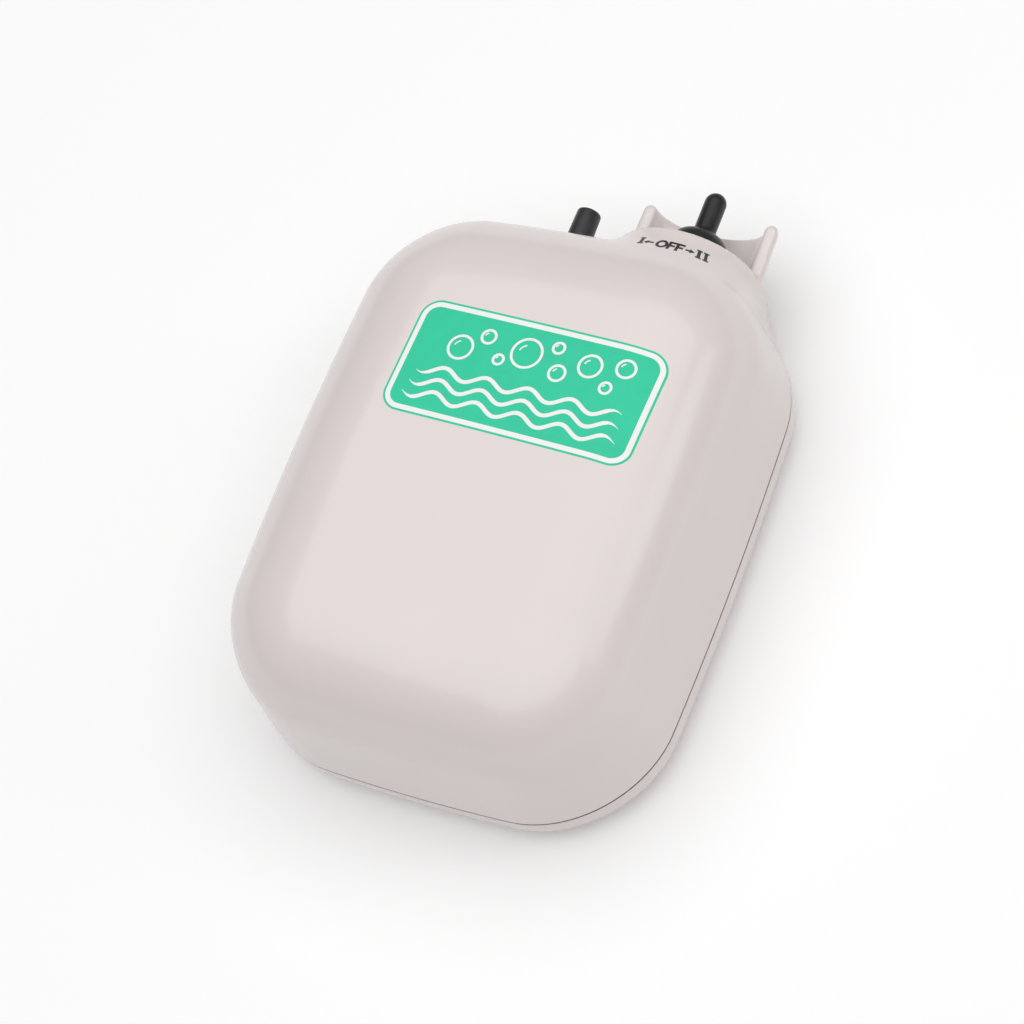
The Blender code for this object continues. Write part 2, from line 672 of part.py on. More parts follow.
def make_chassis():
    """Plate under the front face, with the partition, the motor's snap cradles and the pump's wall."""
    high = CHASSIS_Z + CHASSIS_T
    plate = skin("chassis", [(CHASSIS_IN, CHASSIS_Z), (CHASSIS_IN, high)])
    limit = (BODY_W, BODY_H, high + OVERRUN)
    clip(plate, box("half", (-BODY_W, PARTITION_Y, CHASSIS_Z - OVERRUN), limit))
    half = BODY_W / 2 - CHASSIS_IN
    ridge = CHASSIS_Z + CHASSIS_T / 2
    top = PARTITION_Y + PARTITION_T
    join(plate, box("partition", (-half, PARTITION_Y, PARTITION_FOOT), (half, top, ridge)))
    cradle_half = MOTOR_R + CLEAR + RIB_T / 2
    for x in (MOTOR_X + CAN_T + RIB_T, MOTOR_X + MOTOR_L - END_CAP_T - 2 * RIB_T):
        low = (x, MOTOR_Y - cradle_half, TOP_Z - CRADLE_WRAP)
        join(plate, box("cradle", low, (x + RIB_T, MOTOR_Y + cradle_half, ridge)))
    cut(plate, rod("motor_room", MOTOR_R + CLEAR, "X", (MOTOR_Y, TOP_Z), MOTOR_X - OVERRUN,
                   MOTOR_X + MOTOR_L + OVERRUN, 32))
    low = (OUTLET_X - PUMP_HALF, PUMP_WALL_Y, TOP_Z - PUMP_HALF)
    join(plate, box("pump_wall", low, (OUTLET_X + PUMP_HALF, PUMP_WALL_Y + PUMP_WALL_T, ridge)))
    across = (OUTLET_X, TOP_Z)
    cut(plate, rod("rod_hole", PUMP_BORE_R, "Y", across, PUMP_WALL_Y - OVERRUN, DIAPHRAGM_Y, 28))
    for x, z in pump_screw_places():
        cut(plate, rod("hole", SCREW_R + CLEAR, "Y", (x, z), PUMP_WALL_Y - OVERRUN, DIAPHRAGM_Y, 16))
    for place in CHASSIS_SCREWS:
        cut(plate, rod("hole", SCREW_R + CLEAR, "Z", place, CHASSIS_Z - OVERRUN, high + OVERRUN, 16))
    finish(plate, "chassis", GREY_PLASTIC)
    for number, place in enumerate(CHASSIS_SCREWS, 1):
        head = CHASSIS_Z - CLEAR
        make_screw(f"chassis_screw_{number}", "Z", place, head, 1)


def make_screw(name, axis, place, head, way):
    """A pan-head screw; head is the plane under its head, and way is where its shank points."""
    profile = [(0, -SCREW_HEAD_H), (SCREW_HEAD_R * 0.8, -SCREW_HEAD_H)]
    profile.append((SCREW_HEAD_R, -SCREW_HEAD_H / 2))
    profile += [(SCREW_HEAD_R, 0), (SCREW_R, 0), (SCREW_R, SCREW_LENGTH - SCREW_R), (0, SCREW_LENGTH)]
    placed_profile = [(radius, head + way * along) for radius, along in profile]
    screw = turned(name, placed_profile, axis, place, 16)
    arm = SCREW_HEAD_R * 0.6
    thin = 0.25 * MM
    outside = head - way * (SCREW_HEAD_H + OVERRUN)
    inside = head - way * SCREW_HEAD_H * 0.45
    low, high = min(outside, inside), max(outside, inside)
    for u, v in ((arm, thin), (thin, arm)):
        loop = [(place[0] - u, place[1] - v), (place[0] + u, place[1] - v)]
        loop += [(place[0] + u, place[1] + v), (place[0] - u, place[1] + v)]
        cut(screw, prism("cross", loop, axis, low, high))
    return finish(screw, name, STEEL)


# Motor


def make_motor(rotor):
    centre = (MOTOR_Y, TOP_Z)
    front = MOTOR_X
    back = MOTOR_X + MOTOR_L
    cap_x = back - END_CAP_T
    hole = SHAFT_R + CLEAR
    inner = MOTOR_R - CAN_T
    can = [(MOTOR_R, cap_x - CLEAR), (MOTOR_R, front), (hole, front), (hole, front + CAN_T)]
    can += [(inner, front + CAN_T), (inner, cap_x - CLEAR)]
    finish(turned("can", can, "X", centre, 36), "motor_can", STEEL)
    finish(tube("cap", "X", centre, MOTOR_R, hole, cap_x, back, 36), "motor_end_cap", GREY_PLASTIC)
    half = MAGNET_SPAN / 2 * pi / 180
    reach = inner - CLEAR
    for number, start in enumerate((pi / 2 - half, 3 * pi / 2 - half), 1):
        loop = circle(reach, centre, 12, start, 2 * half)
        loop += reversed(circle(reach - MAGNET_T, centre, 12, start, 2 * half))
        magnet = prism("magnet", loop, "X", front + 3 * CAN_T, front + 3 * CAN_T + ARMATURE_L)
        finish(magnet, f"motor_magnet_{number}", FERRITE)
    for number, side in enumerate((-1, 1), 1):
        y = MOTOR_Y + side * TERMINAL_OFF
        low = (back + CLEAR, y - TERMINAL_W / 2, TOP_Z - TERMINAL_T / 2)
        high = (back + CLEAR + TERMINAL_L, y + TERMINAL_W / 2, TOP_Z + TERMINAL_T / 2)
        finish(box("terminal", low, high), f"motor_terminal_{number}", BRASS)
    make_rotor(rotor, centre, front, back)


def make_rotor(rotor, centre, front, back):
    shaft_low = OUTLET_X - ECCENTRIC_T
    shaft = rod("shaft", SHAFT_R, "X", centre, shaft_low, back - CLEAR, 16)
    finish(shaft, "motor_shaft", STEEL, rotor)
    low = front + 3 * CAN_T
    bore = SHAFT_R + CLEAR
    armature = tube("armature", "X", centre, ARMATURE_R, bore, low, low + ARMATURE_L, 30)
    for i in range(3):
        turn = 2 * pi * i / 3
        slot = box("slot", (low - OVERRUN, ARMATURE_SLOT_FOOT, -ARMATURE_SLOT_W / 2),
                   (low + ARMATURE_L + OVERRUN, MOTOR_R, ARMATURE_SLOT_W / 2))
        slot.data.transform(Matrix.Translation((0, *centre)) @ Matrix.Rotation(turn, 4, "X"))
        cut(armature, slot)
    finish(armature, "armature", COPPER, rotor)
    low += ARMATURE_L + CLEAR
    commutator = tube("commutator", "X", centre, COMMUTATOR_R, bore, low, low + COMMUTATOR_L, 18)
    finish(commutator, "commutator", BRASS, rotor)
    low = OUTLET_X - ECCENTRIC_T / 2
    disc = rod("disc", ECCENTRIC_R, "X", (MOTOR_Y - STROKE, TOP_Z), low, low + ECCENTRIC_T)
    cut(disc, rod("bore", bore, "X", centre, low - OVERRUN, low + ECCENTRIC_T + OVERRUN, 16))
    finish(disc, "eccentric", BRASS, rotor)


# Pump


def pump_screw_places():
    """Across the pump's axis, at two opposite corners."""
    off = PUMP_SCREW_OFF
    return [(OUTLET_X - off, TOP_Z + off), (OUTLET_X + off, TOP_Z - off)]


def make_connecting_rod(pin):
    ring_in = ECCENTRIC_R + CLEAR
    ring_out = ring_in + ROD_RING_T
    centre = (MOTOR_Y - STROKE, TOP_Z)
    half = ECCENTRIC_T / 2
    low = OUTLET_X - half
    link = rod("rod", ring_out, "X", centre, low, low + ECCENTRIC_T, 28)
    plate_y = DIAPHRAGM_Y - CLEAR - ROD_PLATE_T
    join(link, box("stem", (low, centre[0], TOP_Z - ROD_W / 2),
                   (low + ECCENTRIC_T, plate_y + ROD_PLATE_T / 2, TOP_Z + ROD_W / 2)))
    join(link, rod("plate", ROD_PLATE_R, "Y", (OUTLET_X, TOP_Z), plate_y, plate_y + ROD_PLATE_T))
    cut(link, rod("eye", ring_in, "X", centre, low - OVERRUN, low + ECCENTRIC_T + OVERRUN, 28))
    return finish(link, "connecting_rod", GREY_PLASTIC, pin)


def pump_block(low, high):
    """A square slab across the pump's axis, with its two screw holes."""
    block = box("block", (OUTLET_X - PUMP_HALF, low, TOP_Z - PUMP_HALF),
                (OUTLET_X + PUMP_HALF, high, TOP_Z + PUMP_HALF))
    for place in pump_screw_places():
        cut(block, rod("hole", SCREW_R + CLEAR, "Y", place, low - OVERRUN, high + OVERRUN, 16))
    return block


def make_pump(inlet, outlet):
    centre = (OUTLET_X, TOP_Z)
    rim = DIAPHRAGM_R
    fold = PUMP_BORE_R - CLEAR * 2
    high = DIAPHRAGM_Y + DIAPHRAGM_T
    profile = [(0, DIAPHRAGM_Y), (fold * 0.6, DIAPHRAGM_Y), (fold * 0.8, high - DIAPHRAGM_T * 0.6)]
    profile += [(fold, DIAPHRAGM_Y), (rim, DIAPHRAGM_Y), (rim, high), (fold, high)]
    profile += [(fold * 0.8, high + DIAPHRAGM_T * 0.3), (fold * 0.6, high), (0, high)]
    disc = turned("diaphragm", profile, "Y", centre, 28)
    for x, z in pump_screw_places():
        cut(disc, rod("notch", SCREW_R + CLEAR, "Y", (x, z), DIAPHRAGM_Y - OVERRUN, high + OVERRUN, 16))
    finish(disc, "diaphragm", BLACK_RUBBER)
    head = pump_block(HEAD_Y, HEAD_Y + HEAD_T)
    cut(head, rod("chamber", PUMP_BORE_R, "Y", centre, HEAD_Y - OVERRUN, HEAD_Y + CHAMBER_T, 28))
    out_port = (OUTLET_X - PORT_OFF, TOP_Z)
    in_port = (OUTLET_X + PORT_OFF, TOP_Z)
    cut(head, rod("port", PORT_R, "Y", out_port, HEAD_Y, HEAD_Y + HEAD_T + OVERRUN, 14))
    mid = HEAD_Y + (HEAD_T + CHAMBER_T) / 2
    cut(head, rod("port", PORT_R, "Y", in_port, HEAD_Y, mid, 14))
    cut(head, rod("inlet", PORT_R * 0.9, "X", (mid, TOP_Z), OUTLET_X + PORT_OFF,
                  OUTLET_X + 2 * PUMP_HALF, 14))
    finish(head, "pump_head", GREY_PLASTIC)
    cap = pump_block(CAP_Y, CAP_Y + CAP_T)
    cut(cap, rod("room", PUMP_BORE_R, "Y", centre, CAP_Y - OVERRUN, CAP_Y + CAP_ROOM_T, 28))
    cut(cap, rod("way_out", NIPPLE_BORE_R, "Y", centre, CAP_Y, CAP_Y + CAP_T + OVERRUN, 18))
    finish(cap, "pump_cap", GREY_PLASTIC)
    make_flap("inlet_flap", in_port, HEAD_Y + CHAMBER_T - CLEAR - FLAP_T, inlet)
    make_flap("outlet_flap", out_port, HEAD_Y + HEAD_T + CLEAR, outlet)
    for number, place in enumerate(pump_screw_places(), 1):
        screw_head = CAP_Y + CAP_T + CLEAR
        make_screw(f"pump_screw_{number}", "Y", place, screw_head, -1)


def make_flap(name, port, low, hinge):
    """A rubber tongue over a port, bending at its inner end."""
    flap = box(name, (port[0] - FLAP_W / 2, low, TOP_Z - FLAP_L / 2),
               (port[0] + FLAP_W / 2, low + FLAP_T, TOP_Z + FLAP_L / 2))
    return finish(flap, name, BLACK_RUBBER, hinge)


def make_outlet():
    """The nipple that the airline is pushed onto, and its seal against the case."""
    centre = (OUTLET_X, TOP_Z)
    low = FLANGE_Y
    shoulder = low + FLANGE_T
    tip = BODY_H / 2 + NIPPLE_TIP_Y
    barb = tip - NIPPLE_R
    neck = NIPPLE_R - NIPPLE_BARB
    profile = [(NIPPLE_BORE_R, low), (FLANGE_R, low), (FLANGE_R, shoulder), (neck, shoulder)]
    profile += [(neck, barb - NIPPLE_R / 2), (NIPPLE_R, barb), (NIPPLE_R, barb + NIPPLE_R / 2)]
    profile += [(neck - NIPPLE_BARB, tip), (NIPPLE_BORE_R, tip)]
    finish(turned("nipple", profile, "Y", centre, 28), "outlet_nipple", BLACK_PLASTIC)
    seal_low = shoulder + CLEAR
    seal = tube("seal", "Y", centre, FLANGE_R - CLEAR, NIPPLE_R + CLEAR, seal_low, seal_low + SEAL_T)
    finish(seal, "nipple_seal", BLACK_RUBBER)


# Switch


def make_switch(lever):
    centre = (BOSS_X, TOP_Z)
    half_w = SWITCH_W / 2
    half_d = SWITCH_D / 2
    body_top = SWITCH_TOP_Y - LUG_T - CLEAR
    body = box("body", (BOSS_X - half_w, SWITCH_LOW_Y, TOP_Z - half_d),
               (BOSS_X + half_w, body_top, TOP_Z + half_d))
    finish(body, "switch_body", BLACK_PLASTIC)
    plate = box("plate", (BOSS_X - half_w, SWITCH_TOP_Y - LUG_T, TOP_Z - half_d),
                (BOSS_X + half_w, SWITCH_TOP_Y, TOP_Z + half_d))
    top = BOSS_TOP_Y + BUSHING_UP
    join(plate, rod("bushing", BUSHING_R, "Y", centre, SWITCH_TOP_Y - LUG_T / 2, top, 24))
    cut(plate, rod("bore", BUSHING_R - BUSHING_WALL, "Y", centre, SWITCH_LOW_Y, top + OVERRUN, 20))
    finish(plate, "switch_bushing", STEEL)
    hexagon = circle(NUT_R, centre, 6)
    nut_low = BOSS_TOP_Y + CLEAR
    nut = prism("nut", hexagon, "Y", nut_low, nut_low + NUT_H)
    cut(nut, rod("bore", BUSHING_R + CLEAR, "Y", centre, nut_low - OVERRUN,
                 nut_low + NUT_H + OVERRUN, 24))
    finish(nut, "switch_nut", STEEL)
    for number in range(3):
        x = BOSS_X + (number - 1) * LUG_PITCH
        high = SWITCH_LOW_Y - CLEAR
        lug = box("lug", (x - LUG_W / 2, high - LUG_H, TOP_Z - LUG_T / 2),
                  (x + LUG_W / 2, high, TOP_Z + LUG_T / 2))
        finish(lug, f"switch_terminal_{number + 1}", BRASS)
    resistor_z = TOP_Z - half_d - CLEAR - RESISTOR_R
    resistor = rod("resistor", RESISTOR_R, "X", (SWITCH_LOW_Y + 2 * RESISTOR_R, resistor_z),
                   BOSS_X - RESISTOR_L / 2, BOSS_X + RESISTOR_L / 2, 16)
    finish(resistor, "speed_resistor", RESISTOR_TAN)
    make_lever(lever, centre)
    make_boot(lever, centre)


def make_lever(lever, centre):
    """A rod with a ball at its pivot."""
    ball = BUSHING_R - BUSHING_WALL - CLEAR
    reach = acos(LEVER_R / ball)
    profile = [(0, PIVOT_Y - LEVER_DOWN), (LEVER_R, PIVOT_Y - LEVER_DOWN)]
    steps = 6
    for i in range(steps + 1):
        turn = reach * (2 * i / steps - 1)
        profile.append((ball * cos(turn), PIVOT_Y + ball * sin(turn)))
    tip = PIVOT_Y + LEVER_UP
    profile += [(LEVER_R, tip - LEVER_R / 2), (LEVER_R / 2, tip), (0, tip)]
    finish(turned("lever", profile, "Y", centre, 18), "toggle_lever", STEEL, lever)


def make_boot(lever, centre):
    """The rubber boot: a fixed foot round the nut, and a finger that swings with the lever."""
    low = BOSS_TOP_Y + CLEAR
    side = low + BOOT_SIDE_H
    top = low + BOOT_H
    outside = [(BOOT_R, low), (BOOT_R, side)]
    inside = []
    steps = 4
    for i in range(1, steps + 1):
        turn = pi / 2 * i / steps
        rise = (top - side) * sin(turn)
        mouth_out = BOOT_MOUTH_R + BOOT_SKIN * 0.4
        outside.append((mouth_out + (BOOT_R - mouth_out) * cos(turn), side + rise))
        reach = BOOT_R - BOOT_SKIN - BOOT_MOUTH_R
        inside.append((BOOT_MOUTH_R + reach * cos(turn), side + rise * (1 - BOOT_SKIN / (top - side))))
    inside.append((BOOT_R - BOOT_SKIN, side))
    inside.sort(key=lambda pair: pair[0])
    profile = outside + inside + [(BOOT_R - BOOT_SKIN, low)]
    finish(turned("boot", profile, "Y", centre, 28), "boot_base", BLACK_RUBBER)
    foot = PIVOT_Y + FINGER_FOOT
    bore = LEVER_R + CLEAR
    tip = PIVOT_Y + LEVER_UP + CLEAR + BOOT_SKIN
    shoulder = tip - FINGER_R
    profile = [(bore, foot), (FINGER_R, foot), (FINGER_R, shoulder)]
    for i in range(1, steps + 1):
        turn = pi / 2 * i / steps
        radius = FINGER_R * cos(turn) if i < steps else 0
        profile.append((radius, shoulder + FINGER_R * sin(turn)))
    ceiling = PIVOT_Y + LEVER_UP + CLEAR
    profile += [(0, ceiling), (bore * 0.6, ceiling), (bore, ceiling - bore * 0.5)]
    finish(turned("finger", profile, "Y", centre, 24), "boot_finger", BLACK_RUBBER, lever)


# Wires


def smooth_route(places):
    """Points on a curve through the given places that never swings past them."""
    spots = [Vector(place) for place in places]
    spans = [last - first for first, last in zip(spots, spots[1:])]
    rates = [span.normalized() for span in spans]
    ways = [rates[0]]
    for before, after in zip(rates, rates[1:]):
        ways.append(Vector([2 * a * b / (a + b) if a * b > 0 else 0 for a, b in zip(before, after)]))
    ways.append(rates[-1])
    route = []
    for first, span, leave, reach in zip(spots, spans, ways, ways[1:]):
        for step in range(WIRE_STEPS):
            t = step / WIRE_STEPS
            bulge = leave * (t * (1 - t) ** 2) - reach * (t * t * (1 - t))
            route.append(first + span * (t * t * (3 - 2 * t)) + bulge * span.length)
    route.append(spots[-1])
    return route


def make_wire(name, places, look):
    curve = bpy.data.curves.new(name, "CURVE")
    curve.dimensions = "3D"
    curve.bevel_depth = WIRE_R
    curve.bevel_resolution = 1
    curve.use_fill_caps = True
    route = smooth_route(places)
    spline = curve.splines.new("POLY")
    spline.points.add(len(route) - 1)
    for point, place in zip(spline.points, route):
        point.co = (*place, 1)
    finish(mesh_of(curve), name, look)


def make_wires():
    """Leads from the cells' contacts to the switch and the motor, under the partition and the motor."""
    low = WIRE_LOW_Z
    contact = CONTACT_Y + CONTACT_T / 2
    under = PARTITION_Y + PARTITION_T / 2
    start = CELL_Z - CONTACT_W / 2 - CLEAR - WIRE_R
    below_motor = TOP_Z - MOTOR_R - CLEAR - 3 * WIRE_R
    lug_y = SWITCH_LOW_Y - 2 * CLEAR - LUG_H - WIRE_R
    left_lug = BOSS_X - LUG_PITCH
    right_lug = BOSS_X + LUG_PITCH
    places = [
        (-CELL_X, contact, start),
        (-CELL_X, contact, low + WIRE_BEND / 2),
        (2 * WIRE_BEND - CELL_X, under + WIRE_BEND, low),
        (OUTLET_X + ECCENTRIC_R, MOTOR_Y - 3 * WIRE_BEND, low),
        (left_lug - 3 * WIRE_BEND, MOTOR_Y + 3 * WIRE_BEND, below_motor),
        (left_lug, lug_y, below_motor + 2 * WIRE_BEND),
        (left_lug, lug_y, TOP_Z),
    ]
    make_wire("switch_wire", places, RED_WIRE)
    end_x = MOTOR_X + MOTOR_L + CLEAR + TERMINAL_L / 2
    terminal_z = TOP_Z - TERMINAL_T / 2 - CLEAR - WIRE_R
    near = MOTOR_Y - TERMINAL_OFF
    places = [
        (CELL_X, contact, start),
        (CELL_X, contact, low + WIRE_BEND / 2),
        (CELL_X + WIRE_BEND, under + WIRE_BEND, low),
        (end_x, near - WIRE_BEND, low + WIRE_BEND),
        (end_x, near, terminal_z),
    ]
    make_wire("motor_wire", places, BLACK_WIRE)
    far = MOTOR_Y + TERMINAL_OFF
    places = [
        (end_x, far, terminal_z),
        (end_x, far + WIRE_R, terminal_z - 2 * WIRE_BEND),
        (right_lug + 2 * WIRE_BEND, lug_y - WIRE_R, TOP_Z - 3 * WIRE_BEND),
        (right_lug, lug_y, TOP_Z),
    ]
    make_wire("speed_wire", places, RED_WIRE)


def main():
    clear_scene()
    slide = pivot_at("cover_slide", Vector((0, 0, 0)))
    spin = pivot_at("coin_screw_axis", Vector((0, COIN_Y, 0)))
    lever = pivot_at("lever_pivot", Vector((BOSS_X, PIVOT_Y, TOP_Z)))
    rotor = pivot_at("rotor_axis", Vector((OUTLET_X, MOTOR_Y, TOP_Z)))
    pin = pivot_at("rod_pin", Vector((OUTLET_X, MOTOR_Y - STROKE, TOP_Z)))
    hinge_z = TOP_Z + FLAP_L / 2
    inlet_y = HEAD_Y + CHAMBER_T - CLEAR
    outlet_y = HEAD_Y + HEAD_T + CLEAR
    inlet = pivot_at("inlet_hinge", Vector((OUTLET_X + PORT_OFF, inlet_y, hinge_z)))
    outlet = pivot_at("outlet_hinge", Vector((OUTLET_X - PORT_OFF, outlet_y, hinge_z)))
    make_front_cover()
    make_rear_cover(slide)
    make_gasket(slide)
    make_coin_screw(spin, slide)
    make_cells()
    make_contacts()
    make_chassis()
    make_motor(rotor)
    make_connecting_rod(pin)
    make_pump(inlet, outlet)
    make_outlet()
    make_switch(lever)
    make_wires()


main()
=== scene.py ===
"""Looks of the battery air pump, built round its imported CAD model.

The row frame is the part's own: +Z out of the front face, +Y towards the switch and the outlet, +X to the
right seen from the front.  Sizes are in millimetres and become metres where a mesh is made.
"""

import json

from math import cos, pi, radians, sin

import bmesh
import bpy
import numpy as np
from mathutils import Matrix, Vector


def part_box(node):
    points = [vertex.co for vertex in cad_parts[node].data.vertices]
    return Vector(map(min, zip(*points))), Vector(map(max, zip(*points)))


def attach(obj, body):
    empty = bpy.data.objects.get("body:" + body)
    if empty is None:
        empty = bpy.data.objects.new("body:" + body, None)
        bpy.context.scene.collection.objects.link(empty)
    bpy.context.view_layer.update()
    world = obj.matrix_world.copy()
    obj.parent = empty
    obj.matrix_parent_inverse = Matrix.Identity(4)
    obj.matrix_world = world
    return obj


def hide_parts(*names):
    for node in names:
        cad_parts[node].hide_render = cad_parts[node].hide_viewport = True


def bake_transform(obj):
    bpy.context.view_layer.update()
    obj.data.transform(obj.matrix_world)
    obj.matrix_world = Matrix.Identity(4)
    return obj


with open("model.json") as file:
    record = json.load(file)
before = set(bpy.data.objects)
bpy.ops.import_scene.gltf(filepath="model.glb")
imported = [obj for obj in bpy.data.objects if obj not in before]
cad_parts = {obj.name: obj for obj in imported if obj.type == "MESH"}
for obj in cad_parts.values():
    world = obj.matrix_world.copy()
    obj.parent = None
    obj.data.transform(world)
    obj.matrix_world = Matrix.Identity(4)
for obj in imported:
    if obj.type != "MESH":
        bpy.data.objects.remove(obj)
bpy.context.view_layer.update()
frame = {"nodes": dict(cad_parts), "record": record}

MM = 0.001


def box_mm(node):
    """Lowest and highest corner of a CAD node, in millimetres."""
    low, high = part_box(node)
    return np.array(low) / MM, np.array(high) / MM


# Case
HALF_W = 45.0  # half of the width where the corners begin
HALF_H = 58.25
SIDE_BOW = 2.1
CORNER_R = 24.3
DRAFT = 1.7
EDGE_IN = 21.5
EDGE_UP = 18.5
CROWN = 1.0
DOME = 0.93  # rise of the front face's middle above its edge rounding
CROWN_IN = 12.0  # width of the front face's sloping border
FLAT_IN = DRAFT + EDGE_IN + CROWN_IN  # inset of the front face's flat middle
WALL = 2.2
CLEAR = 0.3
RIM_Z = box_mm("front_cover")[0][2]
TOTAL_DEPTH = box_mm("front_cover")[1][2]
LIP_Z = box_mm("rear_cover")[1][2]
EDGE_Z = TOTAL_DEPTH - CROWN - EDGE_UP
BACK_IN = 13.0
BACK_UP = 6.9
LIP = 0.8  # outer lip of the gasket groove
GROOVE_DEPTH = 1.5
GASKET_W = 1.0
INNER_LIP = 1.0
EDGE_ROUND = 0.3
GASKET_SOFT = 0.25  # chamfer of the gasket's foot
SLIT_IN = 0.02  # the gasket's outer lip from the outline
SLIT_GAP = 0.06

# Switch boss and guard
BOSS_X = 17.7
TOP_Z = 20.0
BOSS_R = 15.2
BOSS_TOP_Y = HALF_H + 3.25
BOSS_EDGE = 0.6
BOSS_FILLET = 4.0
BOSS_FLARE = 0.18  # how fast the boss widens towards the case
BOSS_FLARE_L = 8.0
GROWN_LOW_Y = HALF_H - CORNER_R  # foot of the boss and the guard, inside the case
GUARD_UP = 0.3  # set above the CAD model's top, because the rounding takes that much away
GUARD_TOP_Y = box_mm("front_cover")[1][1] + GUARD_UP
GUARD_PROUD = 0.3
GUARD_WALL = 2.85
GUARD_SQUARE = 2.25
GUARD_TIP = 1.35  # rounding of the guard's upper edge
GUARD_EDGE = 0.65
GUARD_FILLET = 0.8
GUARD_LEAN = 0.025
GUARD_SCOOP = 2.0  # how far the back of the guard is lower than its ears
BUSHING_HOLE_R = 3.4
OUTLET_X = -8.8
NIPPLE_HOLE_R = 2.8

# Groove round the flat back
LINE_IN = 17.0
LINE_W = 0.8
LINE_SIDE = 0.1  # height of its upright sides
LINE_DEEP = 0.5  # depth of its middle

# Inside of the case
CELL_R = 17.1
CELL_ROOM_DOWN = 14.0  # how far the cells' room passes their lower end
CELL_GAP = 8.4
CELL_X = CELL_GAP / 2 + CELL_R
CELL_Z = 20.6
CELL_LOW_Y = -HALF_H + 13.75
CELL_TOP_Y = CELL_LOW_Y + 61.5
RIB_T = 2.0
RIB_PLACES = (-32.0, 2.0)
CRADLE_UP = 12.8
CRADLE_DOWN = 14.0
SEAT_W = 6.0
SEAT_Y = box_mm("bottom_link")[0][1] - CLEAR
COIN_Y = -15.0
POST_R = CELL_GAP / 2 - CLEAR
POST_FOOT = 11.0
INSERT_HOLE_R = 2.9
INSERT_L = 5.5
SCREW_POST_R = 3.0
SCREW_HOLE_R = 1.5
SCREW_HOLE_L = 5.0
CHASSIS_TOP_Z = 36.0
CHASSIS_SCREWS = ((-31.0, 27.0), (-27.0, 44.0), (33.0, 28.0))

# Coin-slot screw and its boss
COIN_HEAD_R = 6.0
COIN_HEAD_H = 2.0
COIN_EDGE = 0.3
COIN_SHANK_R = 1.5
COIN_POINT = 1.0
COIN_BORE_R = 1.8
COIN_BOSS_H = 7.0
COIN_BOSS_EDGE = 0.4
COIN_FLOOR_Z = 3.9
COIN_MOUTH = 0.6  # chamfer of the recess
THREAD_UP = 8.5  # from the head's outer face to the thread
THREAD_PITCH = 0.8
THREAD_DEEP = 0.3
SLOT_L = 9.0
SLOT_W = 1.4
SLOT_DEEP = 1.1
SLOT_EDGE = 0.3

# Printed panel
PANEL_AT = (5.2, 16.6)
PANEL_W = 54.6
PANEL_H = 25.6
PANEL_R = 4.2
PANEL_TURN = radians(-2.1)
PRINT_T = 0.03
PRINT_SUNK = 0.05  # foot of a print below the skin
OUTER_LINE = 0.45
BORDER = 1.5  # outer line and white border together
WAVES = ((-8.2, 23.5), (-5.4, 23.0), (-2.6, 22.5))  # height and half length
WAVE_RISE = 1.0
WAVE_L = 9.4
WAVE_W = 0.85
WAVE_FADE = 3.0  # length over which a wave thins out
WAVE_TIP = 0.12  # share of the width that its end keeps
WAVE_POINTS = 150
BUBBLES = (
    (-15.5, 3.6, 2.6), (-10.6, 7.2, 1.5), (-6.6, 2.9, 1.1), (-1.4, 5.6, 3.2), (4.6, 8.3, 1.2),
    (6.4, 3.0, 1.7), (12.4, 6.1, 2.4), (17.2, 2.4, 1.2), (19.6, 7.4, 1.9),
)  # x, y, radius
BUBBLE_W = 0.55
GLINT_W = 0.3
GLINT_IN = 0.55  # share of the bubble's radius
GLINT_FROM = radians(110)
GLINT_TURN = radians(60)

# Switch markings: places are distances to the right of the boss's middle
MARK_Y = 55.2  # foot of the markings
MARK_H = 2.6
MARK_W = 0.56
NUMERAL_W = 0.62
SERIF = 0.55
SERIF_W = 0.7 * MARK_W
ONE_AT = -4.5
ONE_LEAN = 0.6  # sets the I upright on the sloping skin
ONE_UP = 0.4
TWO_AT = (7.05, 8.4)
RING_R = 0.85
FS_AT = (1.4, 2.95)
F_TOP_L = 1.3
F_BAR_L = 1.1
ARROW_LEFT = (-1.6, -3.6)  # tail and tip
ARROW_RIGHT = (4.5, 6.2)
ARROW_W = 0.8 * MARK_W
HEAD_L = 0.9
HEAD_W = 1.3
HEAD_LAP = 0.1
HEAD_TIP = 0.05
HEAD_STEP = 0.1

# Boot, heights above its foot
BOOT_FLANGE = 1.4
BOOT_FLANGE_EDGE = 0.2
BOOT_SKIN = 0.9
BOOT_SHOULDER = 3.2
BOOT_WAIST = 7.2
BOOT_NECK = 1.6  # length of the fillet between dome and finger
BOOT_NECK_R = 0.9
BOOT_DRAW = 0.25  # dome narrower than the foot
BOOT_BORE_R = 1.65

# Outlet nipple
NIPPLE_NECK_R = 2.3
NIPPLE_ROOT_R = 2.8
NIPPLE_TIP_R = 2.65
NIPPLE_BORE_R = 1.2
NIPPLE_FLARE = 0.5
NIPPLE_ROUND = 0.55
NIPPLE_OUT_Y = HALF_H + SIDE_BOW + 0.1  # where it leaves the case
NIPPLE_ROOT_L = 0.6
FLANGE_H = 1.3
FLANGE_EDGE = 0.2

# Cells, radii and heights of their turned outline
CELL_STEP = 1.5  # height of the raised cap
CELL_RIM_R = 15.6
CELL_BARE_R = 15.8  # bare metal inside this radius
CELL_CAP_R = 4.75
SPRING_WIRE_R = 0.4
SPRING_TURNS = 3

